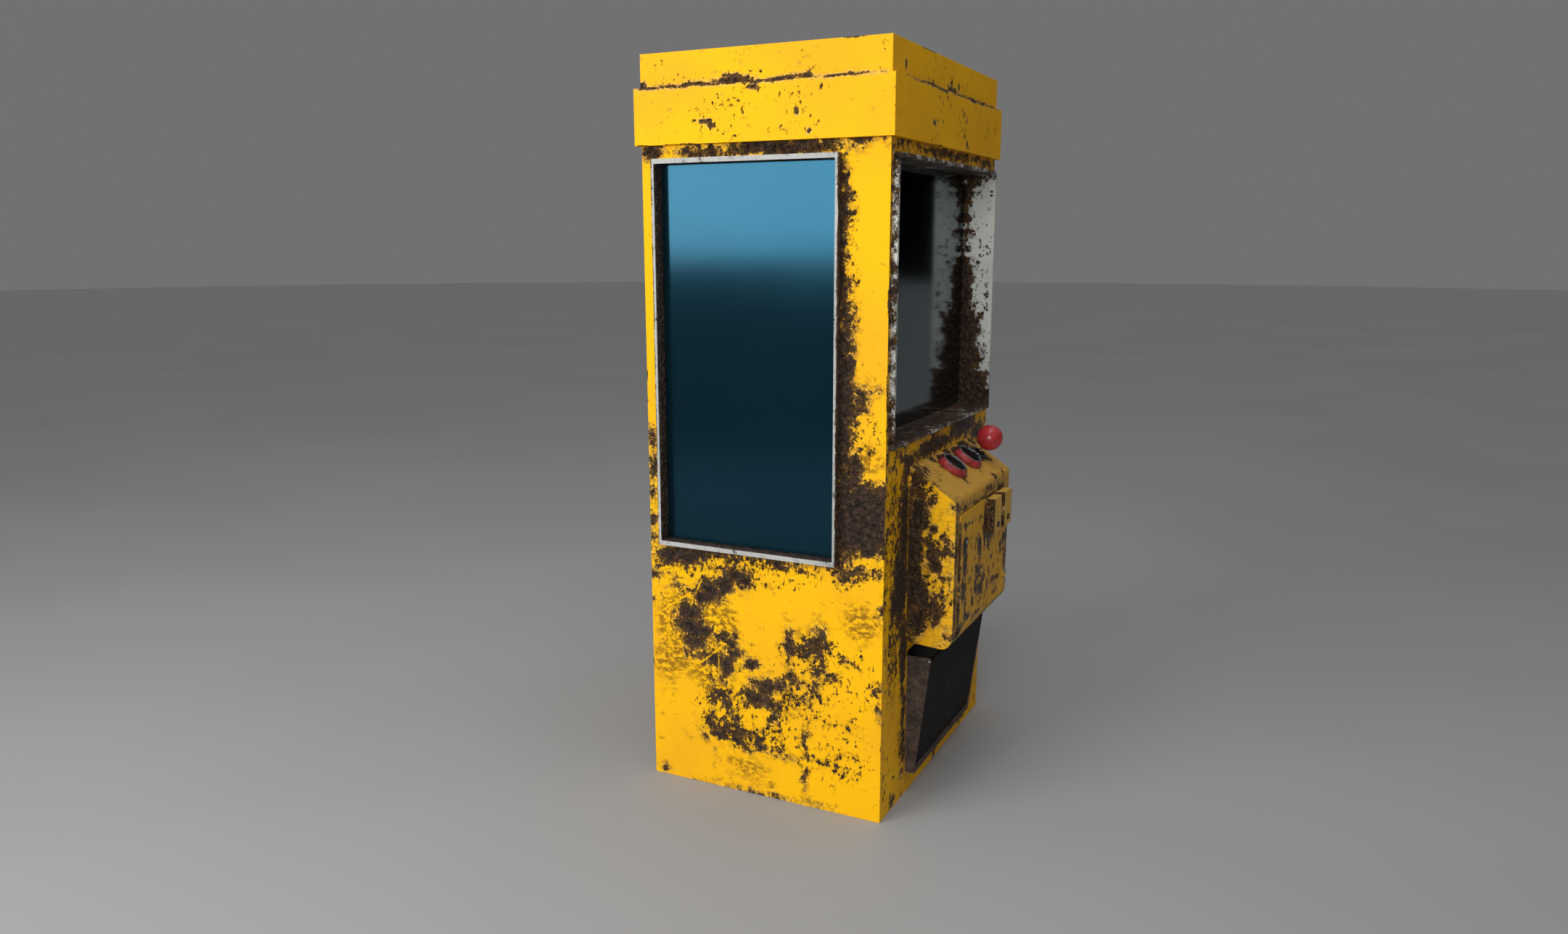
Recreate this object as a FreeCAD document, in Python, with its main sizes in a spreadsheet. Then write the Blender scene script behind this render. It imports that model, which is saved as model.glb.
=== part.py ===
"""Full-size claw-crane prize machine, as a parametric FreeCAD document.

The origin is the centre of the cabinet's footprint on the floor. +X is to the right of a player who faces
the machine, +Y runs to its back and +Z is up. All sizes are in millimetres and degrees.
"""
import FreeCAD, Part

import os
import re

import Sketcher
from FreeCAD import Placement, Rotation, Vector

# Driving dimensions. Each becomes one cell of the spreadsheet, under the same name.
SIZES = {
    # cabinet
    "cab_wide": 842, "cab_deep": 666, "wall_top": 1681, "total_high": 1900, "sheet": 2,
    "base_thick": 3, "anchor_x": 740, "anchor_y": 570, "anchor_hole": 6.5,
    # roof cap: a wide lower tier and a narrower upper tier
    "cap_over": 12.8, "cap_split": 1818, "cap_open_x": 375, "cap_open_y": 315, "cap_ledge": 20,
    # side windows
    "side_front": -212, "side_back": 296, "side_low": 661.5, "side_top": 1648.5, "side_proud": 20,
    "side_depth": 35, "side_rim": 8.5, "end_rim": 12, "rim_round": 4,
    # front window, set deep in a boxed reveal
    "front_half": 404, "front_low": 958, "front_top": 1648.5, "front_proud": 13, "front_depth": 91.5,
    "front_rim": 10, "reveal_thick": 2.5, "reveal_end": -240,
    # glazing
    "glass_thick": 6, "glass_play": 1.2, "bead": 8,
    # control box
    "box_half": 250, "box_out": 123, "slope_top": 892, "slope_tilt": 33.9, "box_low": 420,
    "box_low_back": 430, "round_top": 18, "round_low": 32,
    "panel_half": 240, "panel_low": 432, "panel_high": 880,
    # coin door and its hinge; the rear door has the same hinge and plate
    "coin_half": 215, "coin_low": 455, "coin_high": 770, "door_gap": 2.5, "door_thick": 3,
    "flange_deep": 12, "knuckle": 4, "pin": 2, "pin_bore": 2.06, "hinge_long": 40, "hinge_out": 6,
    # coin entries
    "entry_half": 35, "entry_low": 668, "entry_high": 766, "entry_out": 22, "entry_round": 2.5,
    "slot_wide": 6, "slot_low": 716, "slot_high": 758, "slot_side": 10,
    "return_high": 691, "return_round": 8, "return_bore": 8.06, "return_out": 3, "return_travel": 4,
    "mech_half": 30, "mech_low": 580, "mech_deep": 66, "mech_back": 12,
    # cash box
    "cash_left": -10, "cash_right": 205, "cash_front": 20, "cash_back": -300, "cash_top": 540,
    "cash_wall": 1.5, "cash_foot": 10,
    # locks
    "barrel": 9, "barrel_hole": 9.05, "plug": 6, "plug_bore": 6.06, "cam_thick": 3, "cam_wide": 14,
    # push buttons, measured down the sloped panel
    "button_down": 57, "button_flange": 44, "button_tall": 18, "cup_bore": 35.5, "cap_round": 31,
    "stem": 26.95, "stem_bore": 27, "thread": 30, "thread_hole": 31, "nut_tall": 8,
    # joystick
    "stick_x": 185, "stick_down": 60, "ball": 36, "ball_high": 56, "shaft": 5, "pivot_deep": 28,
    "stick_hole": 17, "trunnion": 3, "trunnion_bore": 3.06, "case_x": 32, "case_y": 26, "case_deep": 62,
    "case_wall": 4, "yoke_x": 24, "yoke_y": 16, "yoke_half": 6, "yoke_wall_x": 6, "yoke_wall_y": 5,
    # prize hopper and flap
    "hopper_half": 240, "hopper_low": 61, "hopper_top": 380, "cheek_top": 388, "cheek_out": 65.5,
    "cheek_low_out": 26.4, "lip_out": 24.4, "lip_top": 80, "flap_tilt": 7.5, "flap_out": 61.5,
    "flap_long": 306, "flap_thick": 4, "flap_tube": 5.5, "flap_pin": 3, "flap_bore": 3.06,
    "prize_low": 72, "prize_top": 400,
    # prize chute, playfield and guard
    "chute_left": -236, "chute_right": -36, "chute_front": -240, "chute_back": -40,
    "bin_high": 420, "bin_rise": 150, "field_top": 657, "field_front": -250, "field_back": 300,
    "guard_tall": 120, "guard_thick": 4,
    # crane
    "rail_x": 380, "rail_wide": 20, "rail_long": 600, "crane_x": -136, "crane_y": -140,
    "truck_half": 50, "truck_wide": 6, "truck_low": 1700, "truck_top": 1740, "truck_wheel": 8,
    "beam_gap": 24, "beam_wide": 12, "beam_low": 1712, "beam_top": 1728, "wheel_step": 30, "wheel_play": 0.4,
    "trolley_low": 1735, "trolley_wheel": 6, "motor_x": 35, "motor_y": 30, "motor_top": 1790,
    "trolley_half": 45, "tube_low": 1440, "tube_wall": 2, "outer_bore": 14, "mid_round": 13.94,
    "mid_bore": 11, "rod_round": 10.94, "head_round": 36, "neck_round": 30, "head_low": 1340,
    "finger_pivot": 40, "finger_high": 1354, "finger_wide": 10, "finger_pin": 3, "finger_bore": 3.06,
    # rear service door
    "rear_half": 310, "rear_low": 100, "rear_high": 1600, "rear_lock_x": -280, "rear_lock_z": 850,
    "coin_lock_x": -165, "coin_lock_z": 690,
    # electrics: the control board on the left wall, the power supply on the base and the mains inlet
    "board_front": 60, "board_back": 260, "board_low": 300, "board_top": 500, "board_off": 8,
    "board_thick": 2, "standoff": 3, "standoff_in": 10, "supply_left": 200, "supply_right": 360,
    "supply_front": 60, "supply_back": 260, "supply_tall": 85, "strip_deep": 15, "vent_step": 24,
    "vent_wide": 12, "vent_deep": 3,
    "inlet_x": 365, "inlet_z": 50, "inlet_flange_x": 30, "inlet_flange_z": 25, "inlet_body_x": 24,
    "inlet_body_z": 19, "inlet_room_x": 18, "inlet_room_z": 12, "inlet_deep": 33, "inlet_room": 20,
}

FRONT = "-cab_deep / 2"
BACK = "cab_deep / 2"
SIDE = "cab_wide / 2"
ENTRY_CENTRES = {1: 56, 2: 157}
BUTTON_CENTRES = {1: -55, 2: 80}

doc = FreeCAD.newDocument("claw_crane")
nodes = {}


def make_sheet():
    """One row per size: its name in words, then its value under that alias."""
    sheet = doc.addObject("Spreadsheet::Sheet", "Dims")
    for row, (alias, value) in enumerate(SIZES.items(), start=1):
        sheet.set("A%d" % row, alias.replace("_", " "))
        sheet.set("B%d" % row, str(value))
        sheet.setAlias("B%d" % row, alias)
    doc.recompute()
    return sheet


sheet = make_sheet()


def qualified(text):
    """An expression with every size name pointed at its spreadsheet cell."""
    return re.sub(r"[a-z][a-z_]*", lambda m: "Dims." + m[0] if m[0] in SIZES else m[0], str(text))


def bind(item, prop, text):
    item.setExpression(prop, qualified(text))


def number(text):
    """The present value of an expression."""
    value = sheet.evalExpression(qualified(text))
    return float(getattr(value, "Value", value))


def place(item, x=0, y=0, z=0, turn=None):
    """Turns an object about its own origin, then binds where that origin goes."""
    item.Placement = Placement(Vector(0, 0, 0), turn or Rotation())
    for axis, text in zip("xyz", (x, y, z)):
        bind(item, "Placement.Base." + axis, text)
    return item


def node(label, item):
    """Names a finished sub-part. Its label is also its file name."""
    item.Label = label
    nodes[label] = item
    return item


def on_side(sign, near, far):
    """A span from near to far on the positive side of zero, or its mirror image on the negative side."""
    return (near, far) if sign > 0 else (f"-({far})", f"-({near})")


def about(middle, half):
    """The low and high expressions half a size to each side of a middle."""
    return (f"{middle} - {half}", f"{middle} + {half}")


# ---- primitives and booleans -------------------------------------------------------------------------

def box(name, xs, ys, zs):
    """A block between a low and a high expression on each axis."""
    item = doc.addObject("Part::Box", name)
    for axis, size, (low, high) in zip("xyz", ("Length", "Width", "Height"), (xs, ys, zs)):
        bind(item, "Placement.Base." + axis, low)
        bind(item, size, "(%s) - (%s)" % (high, low))
    return item


AXIS_TURN = {"x": Rotation(Vector(0, 1, 0), 90), "y": Rotation(Vector(1, 0, 0), -90), "z": Rotation()}


def rod(name, axis, radius, centre, span):
    """A cylinder along an axis. centre holds its other two coordinates, in X, Y, Z order."""
    item = doc.addObject("Part::Cylinder", name)
    bind(item, "Radius", radius)
    bind(item, "Height", "(%s) - (%s)" % (span[1], span[0]))
    spot = list(centre)
    spot.insert("xyz".index(axis), span[0])
    return place(item, *spot, turn=AXIS_TURN[axis])


def join(name, parts):
    item = doc.addObject("Part::MultiFuse", name)
    item.Shapes = parts
    return item


def group(name, parts):
    """Separate solids that share one node."""
    item = doc.addObject("Part::Compound", name)
    item.Links = parts
    return item


def cut(name, base, tools):
    item = doc.addObject("Part::Cut", name)
    item.Base = base
    item.Tool = tools[0] if len(tools) == 1 else join(name + "_tools", tools)
    return item


def rounded(name, block, axis, radius):
    """Rounds the four edges of a block that run along one axis."""
    doc.recompute()
    along = {"x": Vector(1, 0, 0), "y": Vector(0, 1, 0), "z": Vector(0, 0, 1)}[axis]
    item = doc.addObject("Part::Fillet", name)
    item.Base = block
    size = number(radius)
    item.Edges = [(i, size, size) for i, edge in enumerate(block.Shape.Edges, start=1)
                  if abs(edge.tangentAt(edge.FirstParameter).dot(along)) > 0.99]
    return item


# ---- PartDesign bodies -------------------------------------------------------------------------------

def outline(body, role, name, corners):
    """A closed polygon sketch on one of the body's origin planes, with every corner bound."""
    sketch = body.newObject("Sketcher::SketchObject", name)
    plane = [f for f in body.Origin.OriginFeatures if f.Role == role][0]
    sketch.AttachmentSupport = [(plane, "")]
    sketch.MapMode = "FlatFace"
    spots = [Vector(number(u), number(v), 0) for u, v in corners]
    for start, end in zip(spots, spots[1:] + spots[:1]):
        sketch.addGeometry(Part.LineSegment(start, end), False)
    for i, (u, v) in enumerate(corners):
        sketch.addConstraint(Sketcher.Constraint("Coincident", i, 2, (i + 1) % len(corners), 1))
        for kind, text, value in (("DistanceX", u, spots[i].x), ("DistanceY", v, spots[i].y)):
            index = sketch.addConstraint(Sketcher.Constraint(kind, i, 1, value))
            bind(sketch, "Constraints[%d]" % index, text)
    return sketch


def padded(name, role, corners, length):
    """A polygon padded evenly to both sides of its plane."""
    body = doc.addObject("PartDesign::Body", name)
    pad = body.newObject("PartDesign::Pad", name + "_pad")
    pad.Profile = outline(body, role, name + "_outline", corners)
    pad.SideType = "Symmetric"
    bind(pad, "Length", length)
    return body


def turned(name, corners):
    """A polygon of radius and height turned about the vertical axis."""
    body = doc.addObject("PartDesign::Body", name)
    sketch = outline(body, "XZ_Plane", name + "_outline", corners)
    doc.recompute()
    spin = body.newObject("PartDesign::Revolution", name + "_spin")
    spin.Profile = sketch
    spin.ReferenceAxis = (sketch, ["V_Axis"])
    spin.Angle = 360
    return body


def soften(body, radius, wanted):
    """Fillets the edges of a body's tip for which wanted(edge) is true."""
    doc.recompute()
    tip = body.Tip
    names = ["Edge%d" % i for i, edge in enumerate(tip.Shape.Edges, start=1) if wanted(edge)]
    fillet = body.newObject("PartDesign::Fillet", "%s_round_%d" % (body.Name, len(body.Group)))
    fillet.Base = (tip, names)
    bind(fillet, "Radius", radius)
    return body


def runs_through(y, z):
    """Picks edges parallel to X through a point of the YZ plane."""
    spot = (number(y), number(z))

    def wanted(edge):
        ends = [v.Point for v in edge.Vertexes]
        level = all(abs(p.y - spot[0]) < 0.1 and abs(p.z - spot[1]) < 0.1 for p in ends)
        return len(ends) == 2 and level
    return wanted


# ---- cabinet -----------------------------------------------------------------------------------------

def make_base():
    plate = box("base_blank", (f"-{SIDE} + sheet", f"{SIDE} - sheet"),
                (f"{FRONT} + sheet", f"{BACK} - sheet"), (0, "base_thick"))
    holes = []
    for side, i in (("left", -1), ("right", 1)):
        for end, j in (("front", -1), ("back", 1)):
            centre = (f"{i} * anchor_x / 2", f"{j} * anchor_y / 2")
            holes.append(rod(f"anchor_{side}_{end}", "z", "anchor_hole", centre, (-1, "base_thick + 1")))
    node("base_plate", cut("base_cut", plate, holes))


def make_side(name, side):
    """One side panel, its window frame, glass and glazing bead. side is -1 on the left, 1 on the right."""
    def across(near, far):
        return on_side(side, near, far)

    wall = box(name + "_wall", across(f"{SIDE} - sheet", SIDE), (FRONT, BACK), (0, "wall_top"))
    window = box(name + "_window", across(f"{SIDE} - sheet - 1", f"{SIDE} + 1"),
                 ("side_front", "side_back"), ("side_low", "side_top"))
    node(name + "_side_panel", cut(name + "_panel_cut", wall, [window]))

    face = f"{SIDE} + side_proud"
    glass_face = f"{face} - side_depth"
    bead_end = f"{glass_face} - glass_thick - bead"
    clear_y = ("side_front + side_rim", "side_back - side_rim")
    clear_z = ("side_low + end_rim", "side_top - end_rim")
    outer = box(name + "_frame_block", across(bead_end, face), ("side_front", "side_back"),
                ("side_low", "side_top"))
    inner = box(name + "_frame_hole", across(f"{bead_end} - 1", f"{face} + 1"), clear_y, clear_z)
    inner = rounded(name + "_frame_round", inner, "x", "rim_round")
    node(name + "_window_frame", cut(name + "_frame_cut", outer, [inner]))

    fit_y = (clear_y[0] + " + glass_play", clear_y[1] + " - glass_play")
    fit_z = (clear_z[0] + " + glass_play", clear_z[1] + " - glass_play")
    pane = across(f"{glass_face} - glass_thick", glass_face)
    node(name + "_glass", box(name + "_pane", pane, fit_y, fit_z))
    ring = box(name + "_bead_block", across(bead_end, f"{glass_face} - glass_thick"), fit_y, fit_z)
    gap = box(name + "_bead_hole", across(f"{bead_end} - 1", f"{glass_face} - glass_thick + 1"),
              (fit_y[0] + " + bead", fit_y[1] + " - bead"), (fit_z[0] + " + bead", fit_z[1] + " - bead"))
    return cut(name + "_bead", ring, [gap])


def make_front_window():
    face = f"{FRONT} - front_proud"
    glass_face = f"{face} + front_depth"
    clear_x = ("-front_half + front_rim", "front_half - front_rim")
    clear_z = ("front_low + front_rim", "front_top - front_rim")
    rim = box("front_rim_block", ("-front_half", "front_half"), (face, f"{FRONT} + sheet"),
              ("front_low", "front_top"))
    reveal = box("front_reveal_block", (clear_x[0] + " - reveal_thick", clear_x[1] + " + reveal_thick"),
                 (f"{FRONT} + sheet", "reveal_end"),
                 (clear_z[0] + " - reveal_thick", clear_z[1] + " + reveal_thick"))
    hole = box("front_frame_hole", clear_x, (f"{face} - 1", "reveal_end + 1"), clear_z)
    hole = rounded("front_frame_round", hole, "y", "rim_round")
    node("front_window_frame", cut("front_frame_cut", join("front_frame_blocks", [rim, reveal]), [hole]))

    fit_x = (clear_x[0] + " + glass_play", clear_x[1] + " - glass_play")
    fit_z = (clear_z[0] + " + glass_play", clear_z[1] + " - glass_play")
    pane = box("front_pane", fit_x, (glass_face, f"{glass_face} + glass_thick"), fit_z)
    node("front_glass", pane)
    bead_face = f"{glass_face} + glass_thick"
    ring = box("front_bead_block", fit_x, (bead_face, f"{bead_face} + bead"), fit_z)
    gap = box("front_bead_hole", (fit_x[0] + " + bead", fit_x[1] + " - bead"),
              (f"{bead_face} - 1", f"{bead_face} + bead + 1"),
              (fit_z[0] + " + bead", fit_z[1] + " - bead"))
    return cut("front_bead", ring, [gap])


def make_front_panel():
    wide = (f"-{SIDE} + sheet", f"{SIDE} - sheet")
    through = (f"{FRONT} - 1", f"{FRONT} + sheet + 1")
    wall = box("front_wall", wide, (FRONT, f"{FRONT} + sheet"), (0, "wall_top"))
    holes = [
        box("front_window_hole", ("-front_half", "front_half"), through, ("front_low", "front_top")),
        box("controls_hole", ("-panel_half", "panel_half"), through, ("panel_low", "panel_high")),
        box("prize_hole", ("-hopper_half + sheet", "hopper_half - sheet"), through,
            ("prize_low", "prize_top")),
    ]
    node("front_panel", cut("front_panel_cut", wall, holes))


def make_back_panel():
    wide = (f"-{SIDE} + sheet", f"{SIDE} - sheet")
    through = (f"{BACK} - sheet - 1", f"{BACK} + 1")
    wall = box("back_wall", wide, (f"{BACK} - sheet", BACK), (0, "wall_top"))
    door = box("rear_door_hole", ("-rear_half - door_gap", "rear_half + door_gap"), through,
               ("rear_low - door_gap", "rear_high + door_gap"))
    inlet = box("inlet_hole", about("inlet_x", "inlet_body_x"), through, about("inlet_z", "inlet_body_z"))
    node("back_panel", cut("back_panel_cut", wall, [door, inlet]))


def make_cap():
    over_x = f"({SIDE} + cap_over)"
    over_y = f"({BACK} + cap_over)"
    outer = box("cap_block", (f"-{over_x}", over_x), (f"-{over_y}", over_y), ("wall_top", "cap_split"))
    room = box("cap_room", (f"-{over_x} + sheet", f"{over_x} - sheet"),
               (f"-{over_y} + sheet", f"{over_y} - sheet"), ("wall_top + sheet", "cap_split - sheet"))
    under = box("cap_under_hole", ("-cap_open_x", "cap_open_x"), ("-cap_open_y", "cap_open_y"),
                ("wall_top - 1", "wall_top + sheet + 1"))
    upper = box("cap_upper_hole", (f"-{SIDE} + cap_ledge", f"{SIDE} - cap_ledge"),
                (f"{FRONT} + cap_ledge", f"{BACK} - cap_ledge"), ("cap_split - sheet - 1", "cap_split + 1"))
    node("cap_lower", cut("cap_lower_cut", outer, [room, under, upper]))

    lid = box("lid_block", (f"-{SIDE}", SIDE), (FRONT, BACK), ("cap_split", "total_high"))
    hollow = box("lid_room", (f"-{SIDE} + sheet", f"{SIDE} - sheet"), (f"{FRONT} + sheet", f"{BACK} - sheet"),
                 ("cap_split - 1", "total_high - sheet"))
    node("cap_upper", cut("cap_upper_cut", lid, [hollow]))


# ---- doors, hinges and locks -------------------------------------------------------------------------

def hinge_half(name, moving, heights):
    """Half of a butt hinge about a vertical pin at the origin, its leaves towards -X (fixed) or +X (moving).

    The frame's face is hinge_out behind the pin, and the door's face is door_thick in front of that.
    """
    parts = []
    for i, low in enumerate(heights):
        tag = "%s_%d" % (name, i)
        third = "hinge_long * 0.3"
        top = f"{low} + hinge_long"
        if moving:
            span = (f"{low} + {third} + 0.5", f"{top} - {third} - 0.5")
            leaf_y = ("hinge_out - door_thick - 2", "hinge_out - door_thick")
            parts += [box(tag + "_leaf", ("knuckle + 0.4", 14), leaf_y, (low, top)),
                      box(tag + "_web", (0, "knuckle + 1"), (0, leaf_y[1]), span),
                      rod(tag + "_knuckle", "z", "knuckle", (0, 0), span)]
        else:
            parts.append(box(tag + "_leaf", (-16, -2), ("hinge_out - 1.6", "hinge_out"), (low, top)))
            parts.append(rod(tag + "_pin", "z", "pin", (0, 0), (low, top)))
            for end, span in (("low", (low, f"{low} + {third}")), ("top", (f"{top} - {third}", top))):
                parts += [box(tag + end + "_web", (-4, 0), (0, "hinge_out"), span),
                          rod(tag + end + "_knuckle", "z", "knuckle", (0, 0), span)]
    return parts


def door_pan(name, half, low, high):
    """A door plate with a turned-in flange, and the axis of its hinge at the origin. It runs towards +X."""
    face = "hinge_out - door_thick"
    near = "door_gap + 0.5"
    far = f"{near} + 2 * {half}"
    plate = box(name + "_plate", (near, far), (face, "hinge_out"), (low, high))
    rim = box(name + "_rim", (f"{near} + 2", f"{far} - 2"), ("hinge_out", "hinge_out + flange_deep"),
              (f"{low} + 2", f"{high} - 2"))
    hollow = box(name + "_hollow", (f"{near} + 4", f"{far} - 4"),
                 ("hinge_out", "hinge_out + flange_deep + 1"), (f"{low} + 4", f"{high} - 4"))
    return [plate, cut(name + "_flange", rim, [hollow])]


def make_door(name, half, low, high, heights, holes):
    """A door with its moving hinge leaves, and the fixed leaves and pins. holes are cut through the door."""
    leaves = hinge_half(name + "_moving", True, heights)
    solid = join(name + "_solid", door_pan(name, half, low, high) + leaves)
    bores = [rod("%s_bore_%d" % (name, i), "z", "pin_bore", (0, 0), (f"{at} - 1", f"{at} + hinge_long + 1"))
             for i, at in enumerate(heights)]
    door = cut(name + "_cut", solid, bores + holes)
    fixed = join(name + "_fixed", hinge_half(name + "_frame", False, heights))
    return door, fixed


def make_lock(name, reach):
    """A cam lock along Y about the origin: its face points to -Y, and the cam hangs down behind the door."""
    face = rod(name + "_face", "y", "barrel + 4", (0, 0), (-3, 0))
    barrel = rod(name + "_barrel", "y", "barrel", (0, 0), (0, 14))
    bore = rod(name + "_bore", "y", "plug_bore", (0, 0), (-4, 15))
    lock = cut(name + "_lock_cut", join(name + "_lock_blank", [face, barrel]), [bore])
    plug = rod(name + "_plug", "y", "plug", (0, 0), (-3.4, 19))
    key = box(name + "_key", (-0.8, 0.8), (-4, -1), (-4, 4))
    cam = box(name + "_cam_bar", ("-cam_wide / 2", "cam_wide / 2"), (15.5, "15.5 + cam_thick"),
              (f"-({reach})", 7))
    cam = join(name + "_cam_blank", [cut(name + "_keyed", plug, [key]), cam])
    return lock, cam


def lock_hole(name, x, y, z):
    return rod(name, "y", "barrel_hole", (x, z), (f"{y} - 10", f"{y} + 30"))


def make_rear_door():
    """The rear door and its fittings, built facing -Y with the pin at the origin, then turned to the back."""
    turn = Rotation(Vector(0, 0, 1), 180)
    pin_x = "rear_half + door_gap + 0.5"
    pin_y = f"{BACK} + hinge_out"
    lock_x = f"{pin_x} - rear_lock_x"
    hole = lock_hole("rear_lock_hole", lock_x, "hinge_out", "rear_lock_z")
    door, fixed = make_door("rear", "rear_half", "rear_low", "rear_high", (200, 830, 1460), [hole])
    node("service_door", place(door, pin_x, pin_y, turn=turn))
    node("service_hinges", place(fixed, pin_x, pin_y, turn=turn))
    lock, cam = make_lock("rear_door", "48")
    for label, item in (("service_lock", lock), ("service_cam", cam)):
        node(label, place(item, "rear_lock_x", f"{BACK} + door_thick", "rear_lock_z", turn))


def make_coin_door():
    """The coin door and its fittings. It is hinged on its right, so its parts are built turned over."""
    face = f"{FRONT} - box_out - door_thick"
    turn = Rotation(Vector(0, 1, 0), 180)
    pin_x = "coin_half + door_gap + 0.5"
    pin_y = f"{FRONT} - box_out - hinge_out"

    def turned_x(x):
        return f"{pin_x} - ({x})"

    through = ("hinge_out - door_thick - 1", "hinge_out + 1")
    holes = [lock_hole("coin_lock_hole", turned_x("coin_lock_x"), "hinge_out", "-coin_lock_z")]
    for i, x in ENTRY_CENTRES.items():
        holes.append(box("door_slot_%d" % i, (turned_x(f"{x} + slot_side + slot_wide / 2"),
                                              turned_x(f"{x} + slot_side - slot_wide / 2")),
                         through, ("-slot_high", "-slot_low")))
        holes.append(rod("door_return_%d" % i, "y", "return_bore", (turned_x(x), "-return_high"), through))
    door, fixed = make_door("coin", "coin_half", "-coin_high", "-coin_low", (-745, -520), holes)
    node("coin_door", place(door, pin_x, pin_y, turn=turn))
    node("coin_hinge", place(fixed, pin_x, pin_y, turn=turn))
    lock, cam = make_lock("coin_door", "61")
    for label, item in (("coin_lock", lock), ("coin_cam", cam)):
        node(label, place(item, "coin_lock_x", face, "coin_lock_z"))


# ---- coin entries ------------------------------------------------------------------------------------

def make_coin_entry(i, x):
    """The entry block in front of the door, its return button, and the coin mechanism behind."""
    face = f"{FRONT} - box_out - door_thick"
    inside = f"{FRONT} - box_out"
    slot_x = about(f"{x} + slot_side", "slot_wide / 2")
    block = box("entry_block_%d" % i, (f"{x} - entry_half", f"{x} + entry_half"),
                (f"{face} - entry_out", face), ("entry_low", "entry_high"))
    block = rounded("entry_round_%d" % i, block, "y", "entry_round")
    through = (f"{face} - entry_out - 1", f"{face} + 1")
    slot = box("entry_slot_%d" % i, slot_x, through, ("slot_low", "slot_high"))
    bore = rod("entry_bore_%d" % i, "y", "return_bore", (x, "return_high"), through)
    node("coin_bezel_%d" % i, cut("entry_cut_%d" % i, block, [slot, bore]))

    node("coin_return_%d" % i, rod("return_button_%d" % i, "y", "return_round", (x, "return_high"),
                                   (f"{face} - entry_out - return_out", f"{inside} + 3")))

    body = box("mech_body_%d" % i, (f"{x} - mech_half", f"{x} + mech_half"),
               (inside, f"{inside} + mech_deep"), ("mech_low", "coin_high - 6"))
    far = f"{inside} + mech_deep - mech_back"
    entry = box("mech_entry_%d" % i, slot_x, (f"{inside} - 1", far), ("slot_low", "slot_high"))
    drop = box("mech_drop_%d" % i, slot_x, (f"{inside} + 20", far), ("mech_low - 1", "slot_high"))
    recess = rod("mech_recess_%d" % i, "y", "return_round + 1", (x, "return_high"),
                 (f"{inside} - 1", f"{inside} + 3 + return_travel + 2"))
    node("coin_mech_%d" % i, cut("mech_cut_%d" % i, body, [entry, drop, recess]))


def make_cash_box():
    inside = f"{FRONT} - box_out + sheet"
    near = f"{inside} + cash_front"
    wide = ("cash_left", "cash_right")
    outer = box("cash_block", wide, (near, "cash_back"), ("panel_low", "cash_top"))
    foot = box("cash_foot", wide, (near, f"{near} + cash_foot"), ("box_low + 6.5", "panel_low"))
    hollow = box("cash_room", ("cash_left + cash_wall", "cash_right - cash_wall"),
                 (f"{near} + cash_wall", "cash_back - cash_wall"), ("panel_low + cash_wall", "cash_top + 1"))
    node("cash_box", cut("cash_cut", join("cash_blank", [outer, foot]), [hollow]))


# ---- control box and controls ------------------------------------------------------------------------

SLOPE_TURN = Rotation(Vector(1, 0, 0), SIZES["slope_tilt"])


def on_slope(item, x, down, sunk=0):
    """Moves an object built about +Z so that it stands on the sloped panel, or sunk below its face."""
    return place(item, x, f"{FRONT} - ({down}) * cos(slope_tilt) + ({sunk}) * sin(slope_tilt)",
                 f"slope_top - ({down}) * sin(slope_tilt) - ({sunk}) * cos(slope_tilt)", SLOPE_TURN)


def box_outline(inset):
    """The control box in side view, shrunk inwards by a wall thickness."""
    start = f"(slope_top - {inset} / cos(slope_tilt))"
    nose = f"({start} - (box_out - {inset}) * tan(slope_tilt))"
    front = f"({FRONT} - box_out + {inset})"
    return [(FRONT, start), (front, nose), (front, f"box_low + {inset}"), (FRONT, f"box_low_back + {inset}")]


def make_control_box():
    blocks = []
    for name, inset in (("box_outer", "0"), ("box_inner", "sheet")):
        corners = box_outline(inset)
        body = padded(name, "YZ_Plane", corners, f"2 * (box_half - {inset})")
        soften(body, f"round_top - {inset}", runs_through(*corners[1]))
        soften(body, f"round_low - {inset}", runs_through(*corners[2]))
        blocks.append(body)
    face = f"{FRONT} - box_out"
    holes = [box("coin_door_hole", ("-coin_half - door_gap", "coin_half + door_gap"),
                 (f"{face} - 1", f"{face} + sheet + 1"), ("coin_low - door_gap", "coin_high + door_gap"))]
    for i, x in BUTTON_CENTRES.items():
        hole = rod("button_hole_%d" % i, "z", "thread_hole", (0, 0), (0, 10))
        holes.append(on_slope(hole, x, "button_down", 5))
    hole = rod("stick_hole_tool", "z", "stick_hole", (0, 0), (0, 10))
    holes.append(on_slope(hole, "stick_x", "stick_down", 5))
    node("control_box", cut("control_box_cut", blocks[0], [blocks[1]] + holes))


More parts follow.
